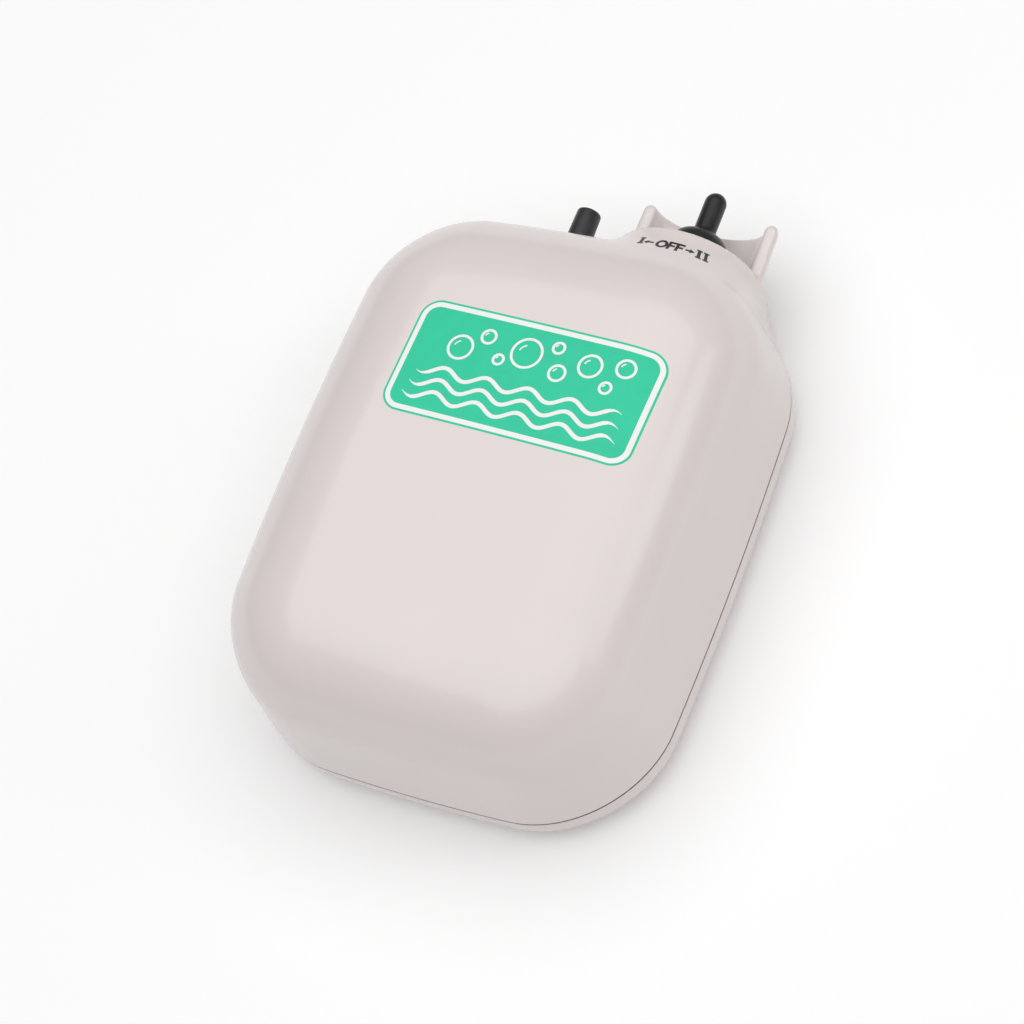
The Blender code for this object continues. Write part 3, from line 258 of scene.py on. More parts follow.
OVERRUN = 2.0  # how far a cutting shape passes the surface that it cuts
SKIN_CELL = 0.6  # size of the quads of the front cover's outside
SKIN_MARGIN = 2.1  # room that the grid leaves round the solid
SKIN_ROUNDS = 8  # Newton's steps down onto the front face
BOSS_ROUNDS = 12
BOSS_STRIDE = 0.5  # longest of those steps on the boss
PROBE = 0.02  # half the span over which a slope is taken
TINY = 1e-6
SMALL = 1e-4  # least share in the guard's plan, so that a slope remains
DEEP = 1e-3  # least share of the front edge, below which a point lies deep inside
OUTLINE_ROUNDS = 5
OUTLINE_FAR = -5.0  # the outline isn't widened for points further out than this
LEAN_FADE = 4.0  # how soon the wall's lean ends above the edge's foot
QUARTERS = ((1, 1), (-1, 1), (-1, -1), (1, -1))


# Fields: signed numbers, near enough distances in millimetres, below zero inside a solid


def round_and(a, b, radius):
    """What two solids share, with the new edge rounded."""
    a = a + radius
    b = b + radius
    return np.minimum(np.maximum(a, b), 0) + np.hypot(np.maximum(a, 0), np.maximum(b, 0)) - radius


def round_or(a, b, radius):
    """Two solids together, with a fillet between them."""
    return -round_and(-a, -b, radius)


def body_field(points):
    """The case's outside: bowed sides, a lean, elliptical front edges and a slight dome."""
    x, y, z = points.T
    flat_x = x
    flat_y = y
    inset = np.zeros_like(x)
    for _ in range(OUTLINE_ROUNDS):
        room_x = HALF_W - np.clip(inset, OUTLINE_FAR, FLAT_IN)
        room_y = HALF_H - np.clip(inset, OUTLINE_FAR, FLAT_IN)
        bow_x = SIDE_BOW * np.clip(1 - (flat_y / room_y) ** 2, 0, 1) / room_x
        bow_y = SIDE_BOW * np.clip(1 - (flat_x / room_x) ** 2, 0, 1) / room_y
        flat_x = x / (1 + bow_x)
        flat_y = y / (1 + bow_y)
        past_x = np.abs(flat_x) - HALF_W + CORNER_R
        past_y = np.abs(flat_y) - HALF_H + CORNER_R
        corner = np.hypot(np.maximum(past_x, 0), np.maximum(past_y, 0))
        inset = CORNER_R - corner - np.minimum(np.maximum(past_x, past_y), 0)
    dome = DOME * np.clip(1 - (x / HALF_W) ** 2, 0, 1) * np.clip(1 - (y / HALF_H) ** 2, 0, 1)
    rise = np.clip((z - EDGE_Z) / EDGE_UP, 0, 1)
    flat_z = z - dome * rise * rise * (3 - 2 * rise)
    straight = EDGE_Z - RIM_Z
    above = np.maximum(flat_z - EDGE_Z, 0)
    lean = DRAFT * (np.minimum(flat_z, EDGE_Z) - RIM_Z) / straight
    lean = lean + DRAFT / LEAN_FADE * (1 - np.exp(-LEAN_FADE * above / straight))
    u = np.maximum((EDGE_IN + lean - inset) / EDGE_IN, 0)
    v = above / EDGE_UP
    k = np.hypot(u, v)
    steep = np.hypot(u / EDGE_IN, v / EDGE_UP)
    return np.where(k > DEEP, (k - 1) * k / np.maximum(steep, TINY), -EDGE_IN)


def guard_plan(across, back, half_width, depth):
    """Distance outside a squared half ellipse that is open to the front."""
    a = np.maximum(across / half_width, SMALL)
    b = np.maximum(back / depth, 0)
    power = GUARD_SQUARE
    size = (a**power + b**power) ** (1 / power)
    slope = size ** (1 - power) * np.hypot(a ** (power - 1) / half_width, b ** (power - 1) / depth)
    return (size - 1) / slope


def front_field(points):
    """The case with the switch boss and the guard grown out of it."""
    x, y, z = points.T
    across = np.abs(x - BOSS_X)
    flare = BOSS_FLARE * np.clip(BOSS_TOP_Y - y, 0, BOSS_FLARE_L)
    tomb = np.hypot(across, np.maximum(z - TOP_Z, 0)) - BOSS_R - flare
    boss = round_and(tomb, y - BOSS_TOP_Y, BOSS_EDGE)
    back = TOP_Z - z
    depth = TOP_Z - RIM_Z - GUARD_PROUD
    half = BOSS_R + GUARD_PROUD
    leaning = across + GUARD_LEAN * np.maximum(y - BOSS_TOP_Y, 0)
    outer = guard_plan(leaning, back, half, depth)
    inner = guard_plan(leaning, back, half - GUARD_WALL, depth - GUARD_WALL)
    scoop = GUARD_SCOOP * np.clip(back / depth, 0, 1) ** 2
    top = GUARD_TOP_Y - scoop
    wall = round_and(np.maximum(outer, -inner), y - top, GUARD_TIP)
    guard = round_and(wall, z - TOP_Z, GUARD_EDGE)
    grown = np.maximum(round_or(boss, guard, GUARD_FILLET), GROWN_LOW_Y - y)
    return round_or(body_field(points), grown, BOSS_FILLET)


def gradient(field, points, step=PROBE):
    """A field's slope in X, Y and Z at each point."""
    sides = []
    for axis in range(3):
        offset = np.zeros(3)
        offset[axis] = step
        sides.append((field(points + offset) - field(points - offset)) / (2 * step))
    return np.stack(sides, axis=1)


def settle(field, points, rounds, reach=0.4):
    """Points moved onto a field's surface by Newton's steps."""
    for _ in range(rounds):
        slope = gradient(field, points)
        step = slope * (field(points) / np.maximum((slope**2).sum(axis=1), TINY))[:, None]
        length = np.linalg.norm(step, axis=1, keepdims=True)
        points = points - step * np.minimum(1, reach / np.maximum(length, TINY))
    return points


def surface_net(field, low, high, cell):
    """A closed skin of quads round a solid, one point in each grid cell that the surface crosses."""
    axes = [np.arange(low[k], high[k] + cell, cell) for k in range(3)]
    grid = np.stack(np.meshgrid(*axes, indexing="ij"), axis=-1)
    inside = (field(grid.reshape(-1, 3)) < 0).reshape(grid.shape[:3])
    size = np.array(inside.shape) - 1
    corners = sum(
        inside[i : size[0] + i, j : size[1] + j, k : size[2] + k].astype(int)
        for i in (0, 1)
        for j in (0, 1)
        for k in (0, 1)
    )
    crossed = (corners > 0) & (corners < 8)
    number = np.full(crossed.shape, -1)
    number[crossed] = np.arange(crossed.sum())
    points = grid[:-1, :-1, :-1][crossed] + cell / 2
    quads = []
    for axis in range(3):
        order = (axis, (axis + 1) % 3, (axis + 2) % 3)
        solid = inside.transpose(order)
        node = number.transpose(order)
        i, j, k = np.nonzero(solid[:-1, 1:-1, 1:-1] != solid[1:, 1:-1, 1:-1])
        ring = np.stack([node[i, j, k], node[i, j + 1, k], node[i, j + 1, k + 1], node[i, j, k + 1]], axis=1)
        outwards = solid[i, j + 1, k + 1]
        ring[~outwards] = ring[~outwards][:, ::-1]
        quads.append(ring)
    return points, np.concatenate(quads)


def relaxed(field, points, quads, rounds):
    """Evens out a skin: each point goes to the mean of its neighbours and back onto the surface."""
    start, end = np.concatenate([quads[:, [0, 1]], quads[:, [1, 2]], quads[:, [2, 3]], quads[:, [3, 0]]]).T
    size = len(points)
    count = np.bincount(start, minlength=size)[:, None]
    for _ in range(rounds):
        sums = [np.bincount(start, weights=points[end, axis], minlength=size) for axis in range(3)]
        total = np.stack(sums, axis=1)
        points = settle(field, (points + total / count) / 2, 2)
    return points


# Mesh tools, in millimetres


def object_from(name, points, faces, outwards=True):
    """A mesh object from millimetres, with its faces pointing out."""
    mesh = bpy.data.meshes.new(name)
    scaled = (np.asarray(points, dtype=float) * MM).tolist()
    mesh.from_pydata(scaled, [], [tuple(int(i) for i in face) for face in faces])
    if outwards:
        shape = bmesh.new()
        shape.from_mesh(mesh)
        bmesh.ops.recalc_face_normals(shape, faces=shape.faces)
        shape.to_mesh(mesh)
        shape.free()
    thing = bpy.data.objects.new(name, mesh)
    bpy.context.scene.collection.objects.link(thing)
    return thing


def bridge(first, second, count):
    """Quads between two rings of points, given by the number of their first point."""
    return [
        (first + i, first + (i + 1) % count, second + (i + 1) % count, second + i) for i in range(count)
    ]


def loft(name, rings, closed=False):
    """A skin over rings of equal count, with its ends capped, or joined when closed."""
    count = len(rings[0])
    points = [point for ring in rings for point in ring]
    faces = []
    for k in range(len(rings) - 1):
        faces += bridge(k * count, (k + 1) * count, count)
    last = (len(rings) - 1) * count
    if closed:
        faces += bridge(last, 0, count)
    else:
        faces.append(tuple(range(count)))
        faces.append(tuple(last + i for i in range(count)))
    return object_from(name, points, faces)


def box(name, low, high):
    corners = [(low[0], low[1]), (high[0], low[1]), (high[0], high[1]), (low[0], high[1])]
    return loft(name, [[(x, y, z) for x, y in corners] for z in (low[2], high[2])])


def placed(axis, u, v, along):
    """A point from its two sideways measures and its distance along an axis."""
    if axis == "X":
        return (along, u, v)
    if axis == "Y":
        return (u, along, v)
    return (u, v, along)


def prism(name, loop, axis, low, high):
    return loft(name, [[placed(axis, u, v, along) for u, v in loop] for along in (low, high)])


def circle(radius, centre=(0, 0), steps=48, start=0.0, turn=2 * pi):
    """Points on a circle; an open arc keeps its last point."""
    whole = abs(turn - 2 * pi) < TINY
    count = steps if whole else steps + 1
    angles = [start + turn * i / steps for i in range(count)]
    return [(centre[0] + radius * cos(a), centre[1] + radius * sin(a)) for a in angles]


def rod(name, radius, axis, centre, low, high, steps=48):
    return prism(name, circle(radius, centre, steps), axis, low, high)


def turned(name, profile, axis, centre, steps=64):
    """A closed profile of (radius, distance along the axis) turned about an axis."""
    points = []
    starts = []
    for radius, along in profile:
        starts.append((len(points), radius == 0))
        loop = [(0.0, 0.0)] if radius == 0 else circle(radius, steps=steps)
        points += [placed(axis, centre[0] + u, centre[1] + v, along) for u, v in loop]
    faces = []
    for (first, first_point), (second, second_point) in zip(starts, starts[1:] + starts[:1]):
        if first_point and second_point:
            continue
        if first_point:
            faces += [(first, second + (i + 1) % steps, second + i) for i in range(steps)]
        elif second_point:
            faces += [(first + i, first + (i + 1) % steps, second) for i in range(steps)]
        else:
            faces += bridge(first, second, steps)
    return object_from(name, points, faces)


def arc(centre, radius, start, end, steps=6):
    """Profile points on an arc, angles in degrees."""
    return [
        (
            centre[0] + radius * cos(radians(start + (end - start) * i / steps)),
            centre[1] + radius * sin(radians(start + (end - start) * i / steps)),
        )
        for i in range(steps + 1)
    ]


def combine(thing, tool, operation):
    """Boolean of two closed objects; the tool is used up."""
    step = thing.modifiers.new("step", "BOOLEAN")
    step.operation = operation
    step.solver = "MANIFOLD"
    step.object = tool
    bpy.context.view_layer.update()
    evaluated = thing.evaluated_get(bpy.context.evaluated_depsgraph_get())
    mesh = bpy.data.meshes.new_from_object(evaluated)
    thing.modifiers.clear()
    thing.data = mesh
    bpy.data.objects.remove(tool, do_unlink=True)
    return thing


def join(thing, *tools):
    for tool in tools:
        combine(thing, tool, "UNION")
    return thing


def cut(thing, *tools):
    for tool in tools:
        combine(thing, tool, "DIFFERENCE")
    return thing


# Outlines of the case


def rounded(half_w, half_h, radius, steps, across, along):
    """A rounded rectangle: corners of so many steps, with so many points on the sides across and along Y."""
    corners = []
    for quarter, (sign_x, sign_y) in enumerate(QUARTERS):
        centre = (sign_x * (half_w - radius), sign_y * (half_h - radius))
        corners.append(circle(radius, centre, steps, quarter * pi / 2, pi / 2))
    loop = []
    for quarter, corner in enumerate(corners):
        after = corners[(quarter + 1) % 4][0]
        count = (along if quarter % 2 else across) + 1
        loop += corner
        loop += [tuple(a + (b - a) * (k / count) for a, b in zip(corner[-1], after)) for k in range(1, count)]
    return loop


def outline(inset, corner_steps=20, side_points=9):
    """The case's outline, drawn in by an inset: a rounded rectangle with bowed sides."""
    half_w = HALF_W - inset
    half_h = HALF_H - inset
    radius = max(CORNER_R - inset, 1.0)
    bowed = []
    for x, y in rounded(half_w, half_h, radius, corner_steps, side_points, side_points):
        out_x = x + SIDE_BOW * (1 - (y / half_h) ** 2) * x / half_w
        out_y = y + SIDE_BOW * (1 - (x / half_w) ** 2) * y / half_h
        bowed.append((out_x, out_y))
    return bowed


def skin(name, profile, closed=False):
    """A solid lofted through (inset, height) pairs of the case's outline."""
    return loft(name, [[(x, y, z) for x, y in outline(inset)] for inset, z in profile], closed)


def front_profile(wall, foot, steps=14):
    """(inset, height) pairs of the front cover's surface, moved inwards by a wall."""
    lean = DRAFT / (EDGE_Z - RIM_Z)
    points = [(wall - lean * (RIM_Z - foot), foot), (DRAFT + wall, EDGE_Z)]
    for step in range(1, steps + 1):
        turn = pi / 2 * step / steps
        inset = DRAFT + wall + (EDGE_IN - wall) * (1 - cos(turn))
        points.append((inset, EDGE_Z + (EDGE_UP - wall) * sin(turn)))
    points.append((FLAT_IN, TOTAL_DEPTH - wall - CROWN / 2))
    return points


def cell_rods():
    """The room that the two cells need."""
    low = CELL_LOW_Y - CELL_ROOM_DOWN
    return [
        rod("cell_room", CELL_R + CLEAR, "Y", (side * CELL_X, CELL_Z), low, CELL_TOP_Y + CLEAR, steps=96)
        for side in (-1, 1)
    ]


# Materials

COAT_ROUGHNESS = 0.12
DRIFT = (0.3, 0.7)  # noise values at which a colour has drifted fully
GRAIN_FLAT = 6  # how many times wider than high a grain is

PLAIN = (1.0, 1.0, 1.0)
GOLD = (6.5, 5.0, 1.4)
CELL_BANDS = ((0.0, PLAIN), (0.1, GOLD), (0.13, PLAIN), (0.86, GOLD), (0.9, PLAIN))
RESISTOR_HALF_L = 4.5
RESISTOR_BANDS = (
    (0.0, PLAIN), (0.2, (0.5, 0.12, 0.08)), (0.3, PLAIN), (0.42, (0.05, 0.05, 0.05)), (0.52, PLAIN),
    (0.66, (0.5, 0.35, 0.05)), (0.76, PLAIN),
)

CAD_SHARP = 35  # degrees
CAD_BEVEL = 0.12
CAD_BEVEL_ANGLE = radians(40)


def look_of(slot_name):
    """The record's base colour of a material slot."""
    for entry in frame["record"]["materials"]:
        if entry["slot"] == slot_name:
            return entry["base_color"]
    raise ValueError(slot_name)


def link(tree, source, output, target, name):
    tree.links.new(source.outputs[output], target.inputs[name])


def surface(slot_name, roughness, metallic=0.0, vary=0.05, patch=0.02, grain=0.0006, bump=0.1,
            rough_vary=0.08, stretch=(1, 1, 1), coat=0.0, shine=0.5):
    """A material whose colour and roughness drift over patches, with a fine grain; lengths in metres."""
    material = bpy.data.materials.new(slot_name)
    material.use_nodes = True
    tree = material.node_tree
    shader = tree.nodes["Principled BSDF"]
    shader.inputs["Metallic"].default_value = metallic
    shader.inputs["Specular IOR Level"].default_value = shine
    shader.inputs["Coat Weight"].default_value = coat
    shader.inputs["Coat Roughness"].default_value = COAT_ROUGHNESS
    place = tree.nodes.new("ShaderNodeTexCoord")
    shape = tree.nodes.new("ShaderNodeMapping")
    shape.inputs["Scale"].default_value = stretch
    link(tree, place, "Object", shape, "Vector")
    broad = tree.nodes.new("ShaderNodeTexNoise")
    broad.inputs["Scale"].default_value = 1 / patch
    broad.inputs["Detail"].default_value = 4
    link(tree, shape, "Vector", broad, "Vector")
    fine = tree.nodes.new("ShaderNodeTexNoise")
    fine.inputs["Scale"].default_value = 1 / grain
    fine.inputs["Detail"].default_value = 3
    link(tree, shape, "Vector", fine, "Vector")
    ramp = tree.nodes.new("ShaderNodeValToRGB")
    colour = look_of(slot_name)
    for element, share, position in zip(ramp.color_ramp.elements, (1 - vary, 1 + vary), DRIFT):
        element.color = (*[min(channel * share, 1.0) for channel in colour], 1)
        element.position = position
    link(tree, broad, "Fac", ramp, "Fac")
    link(tree, ramp, "Color", shader, "Base Color")
    spread = tree.nodes.new("ShaderNodeMapRange")
    spread.inputs["To Min"].default_value = max(roughness - rough_vary, 0.02)
    spread.inputs["To Max"].default_value = min(roughness + rough_vary, 1.0)
    link(tree, broad, "Fac", spread, "Value")
    link(tree, spread, "Result", shader, "Roughness")
    relief = tree.nodes.new("ShaderNodeBump")
    relief.inputs["Strength"].default_value = bump
    relief.inputs["Distance"].default_value = grain / GRAIN_FLAT
    link(tree, fine, "Fac", relief, "Height")
    link(tree, relief, "Normal", shader, "Normal")
    return material


def banded(material, axis, low, high, bands):
    """Paints bands of plain colour across a material, along one axis from low to high."""
    tree = material.node_tree
    shader = tree.nodes["Principled BSDF"]
    place = tree.nodes["Texture Coordinate"]
    split = tree.nodes.new("ShaderNodeSeparateXYZ")
    link(tree, place, "Object", split, "Vector")
    along = tree.nodes.new("ShaderNodeMapRange")
    along.inputs["From Min"].default_value = low * MM
    along.inputs["From Max"].default_value = high * MM
    link(tree, split, axis, along, "Value")
    ramp = tree.nodes.new("ShaderNodeValToRGB")
    ramp.color_ramp.interpolation = "CONSTANT"
    while len(ramp.color_ramp.elements) < len(bands):
        ramp.color_ramp.elements.new(0.5)
    for element, (start, colour) in zip(ramp.color_ramp.elements, bands):
        element.position = start
        element.color = (*colour, 1)
    link(tree, along, "Result", ramp, "Fac")
    mix = tree.nodes.new("ShaderNodeMix")
    mix.data_type = "RGBA"
    mix.blend_type = "MULTIPLY"
    mix.inputs["Factor"].default_value = 1.0
    old = shader.inputs["Base Color"].links[0].from_socket
    tree.links.new(old, mix.inputs["A"])
    tree.links.new(ramp.outputs["Color"], mix.inputs["B"])
    tree.links.new(mix.outputs["Result"], shader.inputs["Base Color"])


MATERIALS = {
    "shell": surface(
        "shell", 0.24, vary=0.012, patch=0.03, grain=0.0011, bump=0.05, rough_vary=0.05, coat=0.25
    ),
    "black_rubber": surface(
        "black_rubber", 0.34, vary=0.25, patch=0.004, grain=0.00025, bump=0.25, shine=0.3
    ),
    "black_plastic": surface(
        "black_plastic", 0.38, vary=0.2, patch=0.006, grain=0.0003, bump=0.12, shine=0.4
    ),
    "grey_plastic": surface("grey_plastic", 0.45, vary=0.06, patch=0.01, grain=0.0005, bump=0.2),
    "steel": surface("steel", 0.3, 1.0, vary=0.1, patch=0.005, grain=0.0002, bump=0.12, stretch=(1, 6, 1)),
    "brass": surface("brass", 0.28, 1.0, vary=0.12, patch=0.004, grain=0.0002, bump=0.1, stretch=(6, 1, 1)),
    "copper": surface("copper", 0.35, 1.0, vary=0.15, patch=0.003, grain=0.0003, bump=0.4, stretch=(1, 5, 5)),
    "ferrite": surface("ferrite", 0.7, vary=0.25, patch=0.002, grain=0.00025, bump=0.4),
    "cell_wrap": surface("cell_wrap", 0.3, vary=0.1, patch=0.012, grain=0.0012, bump=0.06, coat=0.3),
    "resistor_tan": surface("resistor_tan", 0.4, vary=0.1, patch=0.003, grain=0.0003, bump=0.2),
    "red_wire": surface("red_wire", 0.4, vary=0.12, patch=0.004, grain=0.0003, bump=0.1),
    "black_wire": surface("black_wire", 0.4, vary=0.2, patch=0.004, grain=0.0003, bump=0.1),
    "print_green": surface("print_green", 0.3, vary=0.035, patch=0.004, grain=0.0003, bump=0.08, shine=0.3),
    "print_white": surface("print_white", 0.35, vary=0.02, patch=0.003, grain=0.0003, bump=0.08),
    "print_black": surface("print_black", 0.35, vary=0.2, patch=0.002, grain=0.0003, bump=0.08),
}
banded(MATERIALS["cell_wrap"], "Y", CELL_LOW_Y, CELL_TOP_Y, CELL_BANDS)
banded(MATERIALS["resistor_tan"], "X", BOSS_X - RESISTOR_HALF_L, BOSS_X + RESISTOR_HALF_L, RESISTOR_BANDS)


def dress(thing, slot_name, sharp=50):
    """Gives a piece its slot's material and smooth shading."""
    thing.data.materials.clear()
    thing.data.materials.append(MATERIALS[slot_name])
    if thing.type == "MESH":
        thing.data.shade_smooth()
        thing.data.set_sharp_from_angle(angle=radians(sharp))
    return thing


def piece(thing, name, slot_name, body, *nodes, sharp=50):
    """A finished piece: named, dressed, riding on a body and standing for CAD nodes."""
    thing.name = name
    thing.data.name = name
    dress(thing, slot_name, sharp)
    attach(thing, body)
    if nodes:
        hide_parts(*nodes)
    return thing


# Case


def make_front_shell():
    """The front cover with boss and guard, hollow, with its ribs, seats and posts."""
    low = np.array([-HALF_W - SIDE_BOW, -HALF_H - SIDE_BOW, RIM_Z]) - SKIN_MARGIN
    high = np.array([HALF_W + SIDE_BOW, GUARD_TOP_Y, TOTAL_DEPTH]) + SKIN_MARGIN
    points, quads = surface_net(front_field_deep, low, high, SKIN_CELL)
    points = settle(front_field_deep, points, rounds=5)
    points = relaxed(front_field_deep, points, quads, rounds=3)
    shell = object_from("front_shell", points, quads, outwards=False)
    waste = box("below", (-2 * HALF_W, -2 * HALF_H, -RIM_Z), (2 * HALF_W, 2 * HALF_H, RIM_Z))
    join(waste, skin("hollow", front_profile(WALL, RIM_Z - OVERRUN)))
    room_r = BOSS_R - WALL
    room = circle(room_r, (BOSS_X, TOP_Z), turn=pi)
    room += [(BOSS_X - room_r, RIM_Z - OVERRUN), (BOSS_X + room_r, RIM_Z - OVERRUN)]
    join(waste, prism("boss_room", room, "Y", GROWN_LOW_Y + WALL, BOSS_TOP_Y - WALL))
    bushing = rod("hole", BUSHING_HOLE_R, "Y", (BOSS_X, TOP_Z), BOSS_TOP_Y - WALL - OVERRUN,
                  BOSS_TOP_Y + OVERRUN)
    nipple = rod("hole", NIPPLE_HOLE_R, "Y", (OUTLET_X, TOP_Z), HALF_H - 2 * WALL - OVERRUN,
                 HALF_H + SIDE_BOW + OVERRUN)
    join(waste, bushing, nipple)
    cut(shell, waste)
    join(shell, front_ribs())
    return piece(shell, "front_shell", "shell", "case", "front_cover", sharp=60)


def front_field_deep(points):
    """The front shell's field, carried on below the rim to a flat foot."""
    return np.maximum(front_field(points), RIM_Z - OVERRUN / 2 - points[:, 2])


def front_ribs():
    """Ribs, seats and posts inside the front cover, drilled and cut to its inside."""
    roof = TOTAL_DEPTH + OVERRUN
    parts = [
        box("rib", (-HALF_W, y, CELL_Z + CRADLE_UP), (HALF_W, y + RIB_T, roof)) for y in RIB_PLACES
    ]
    for side in (-1, 1):
        x = side * CELL_X
        low = (x - SEAT_W / 2, -2 * HALF_H, RIM_Z + OVERRUN)
        parts.append(box("seat", low, (x + SEAT_W / 2, SEAT_Y, roof)))
    parts.append(rod("post", POST_R, "Z", (0, COIN_Y), POST_FOOT, roof))
    for place in CHASSIS_SCREWS:
        parts.append(rod("post", SCREW_POST_R, "Z", place, CHASSIS_TOP_Z + CLEAR, roof))
    ribs = join(parts[0], *parts[1:])
    combine(ribs, skin("inside", front_profile(WALL / 2, RIM_Z - OVERRUN)), "INTERSECT")
    cut(ribs, *cell_rods())
    insert_top = POST_FOOT + INSERT_L + OVERRUN
    cut(ribs, rod("hole", INSERT_HOLE_R, "Z", (0, COIN_Y), POST_FOOT - OVERRUN, insert_top))
    for place in CHASSIS_SCREWS:
        cut(ribs, rod("hole", SCREW_HOLE_R, "Z", place, CHASSIS_TOP_Z, CHASSIS_TOP_Z + SCREW_HOLE_L))
    return ribs


def make_rear_shell():
    """The rear cover, with a rounded lip, a shallow groove on the back and the coin screw's recess."""
    steps = 14
    profile = []
    for step in range(steps + 1):
        turn = pi / 2 * step / steps
        profile.append((BACK_IN * (1 - sin(turn)), BACK_UP * (1 - cos(turn))))
    groove_in = LIP + 2 * CLEAR + GASKET_W
    inner = groove_in + INNER_LIP
    profile += arc((EDGE_ROUND, LIP_Z - EDGE_ROUND), EDGE_ROUND, 180, 90, 4)
    profile += [(LIP, LIP_Z), (LIP, LIP_Z - GROOVE_DEPTH), (groove_in, LIP_Z - GROOVE_DEPTH)]
    profile += [(groove_in, LIP_Z), (inner, LIP_Z)]
    for step in range(steps + 1):
        turn = pi / 2 * step / steps
        inset = inner + (BACK_IN - inner) * (1 - cos(turn))
        profile.append((inset, BACK_UP - (BACK_UP - WALL) * sin(turn)))
    shell = skin("rear_shell", profile)
    half = HALF_W - BACK_IN
    floor = WALL / 2
    parts = [
        box("rib", (-half, y, floor), (half, y + RIB_T, CELL_Z - CRADLE_DOWN)) for y in RIB_PLACES
    ]
    cradle = cut(join(parts[0], *parts[1:]), *cell_rods())
    join(shell, cradle)
    boss_r = COIN_HEAD_R + 2 * CLEAR + LIP
    boss = [(0, floor), (boss_r, floor), (boss_r, COIN_BOSS_H - COIN_BOSS_EDGE)]
    boss += [(boss_r - COIN_BOSS_EDGE, COIN_BOSS_H), (0, COIN_BOSS_H)]
    join(shell, turned("boss", boss, "Z", (0, COIN_Y)))
    hole_r = COIN_HEAD_R + CLEAR
    above = COIN_BOSS_H + OVERRUN
    recess = [(0, -OVERRUN), (hole_r + COIN_MOUTH + OVERRUN, -OVERRUN), (hole_r, COIN_MOUTH)]
    recess += [(hole_r, COIN_FLOOR_Z), (COIN_BORE_R, COIN_FLOOR_Z), (COIN_BORE_R, above), (0, above)]
    cut(shell, turned("recess", recess, "Z", (0, COIN_Y)))
    line = [(LINE_IN, -OVERRUN), (LINE_IN, LINE_SIDE), (LINE_IN + LINE_W / 2, LINE_DEEP)]
    line += [(LINE_IN + LINE_W, LINE_SIDE), (LINE_IN + LINE_W, -OVERRUN)]
    cut(shell, skin("line", line, closed=True))
    return piece(shell, "rear_shell", "shell", "rear_cover", "rear_cover", sharp=40)


def make_gasket():
    """The gasket in its groove, with a lip that fills the slit between the covers."""
    low = box_mm("case_gasket")[0]
    outer = LIP + CLEAR
    soft = GASKET_SOFT
    section = [(outer, low[2] + soft), (outer, LIP_Z + SLIT_GAP), (SLIT_IN + SLIT_GAP, LIP_Z + SLIT_GAP)]
    section += [(SLIT_IN, LIP_Z + 2 * SLIT_GAP), (SLIT_IN, RIM_Z - 2 * SLIT_GAP)]
    section += [(SLIT_IN + SLIT_GAP, RIM_Z - SLIT_GAP), (outer, RIM_Z - SLIT_GAP)]
    section += [(outer + GASKET_W, RIM_Z - SLIT_GAP), (outer + GASKET_W, low[2] + soft)]
    section += [(outer + GASKET_W - soft, low[2]), (outer + soft, low[2])]
    piece(skin("gasket", section, closed=True), "gasket", "black_rubber", "rear_cover", "case_gasket")


def make_coin_screw():
    """The captive screw: a slotted head, a shank and a thread."""
    low, high = box_mm("coin_screw")
    base = low[2]
    head = base + COIN_HEAD_H
    rim = COIN_HEAD_R - COIN_EDGE
    profile = [(0, base), (rim, base), (COIN_HEAD_R, base + COIN_EDGE), (COIN_HEAD_R, head - COIN_EDGE)]
    profile += [(rim, head), (COIN_SHANK_R, head)]
    along = base + THREAD_UP
    while along + THREAD_PITCH < high[2] - COIN_POINT:
        profile += [(COIN_SHANK_R, along), (COIN_SHANK_R - THREAD_DEEP, along + THREAD_PITCH / 2)]
        along += THREAD_PITCH
    profile += [(COIN_SHANK_R, high[2] - COIN_POINT), (COIN_SHANK_R / 2, high[2]), (0, high[2])]
    screw = turned("coin_screw", profile, "Z", (0, COIN_Y), steps=56)
    wide = SLOT_W / 2 + SLOT_EDGE
    half = [(wide, base - OVERRUN), (wide, base)]
    half += [(SLOT_W / 2, base + SLOT_EDGE), (SLOT_W / 2, base + SLOT_DEEP)]
    loop = half + [(-u, v) for u, v in reversed(half)]
    cut(screw, prism("slot", [(COIN_Y + u, v) for u, v in loop], "X", -SLOT_L / 2, SLOT_L / 2))
    piece(screw, "cover_screw", "steel", "coin_screw", "coin_screw", sharp=30)


# Printed panel and switch markings


def front_points(flat):
    """Points on the front face above or below given (x, y)."""
    points = np.column_stack([flat, np.full(len(flat), TOTAL_DEPTH - CROWN)])
    lift = np.array([0, 0, PROBE])
    for _ in range(SKIN_ROUNDS):
        slope = (front_field(points + lift) - front_field(points - lift)) / (2 * PROBE)
        points[:, 2] -= front_field(points) / slope
    return points


def boss_points(flat):
    """Points on the boss from (distance to the right of its middle, y), found outwards from its axis."""
    turn = flat[:, 0] / BOSS_R
    out = np.column_stack([np.sin(turn), np.zeros(len(flat)), np.cos(turn)])
    axis = np.column_stack([np.full(len(flat), BOSS_X), flat[:, 1], np.full(len(flat), TOP_Z)])
    reach = np.full(len(flat), BOSS_R)
    lift = out * PROBE
    for _ in range(BOSS_ROUNDS):
        points = axis + out * reach[:, None]
        slope = (front_field(points + lift) - front_field(points - lift)) / (2 * PROBE)
        reach = reach - np.clip(front_field(points) / slope, -BOSS_STRIDE, BOSS_STRIDE)
    return axis + out * reach[:, None]


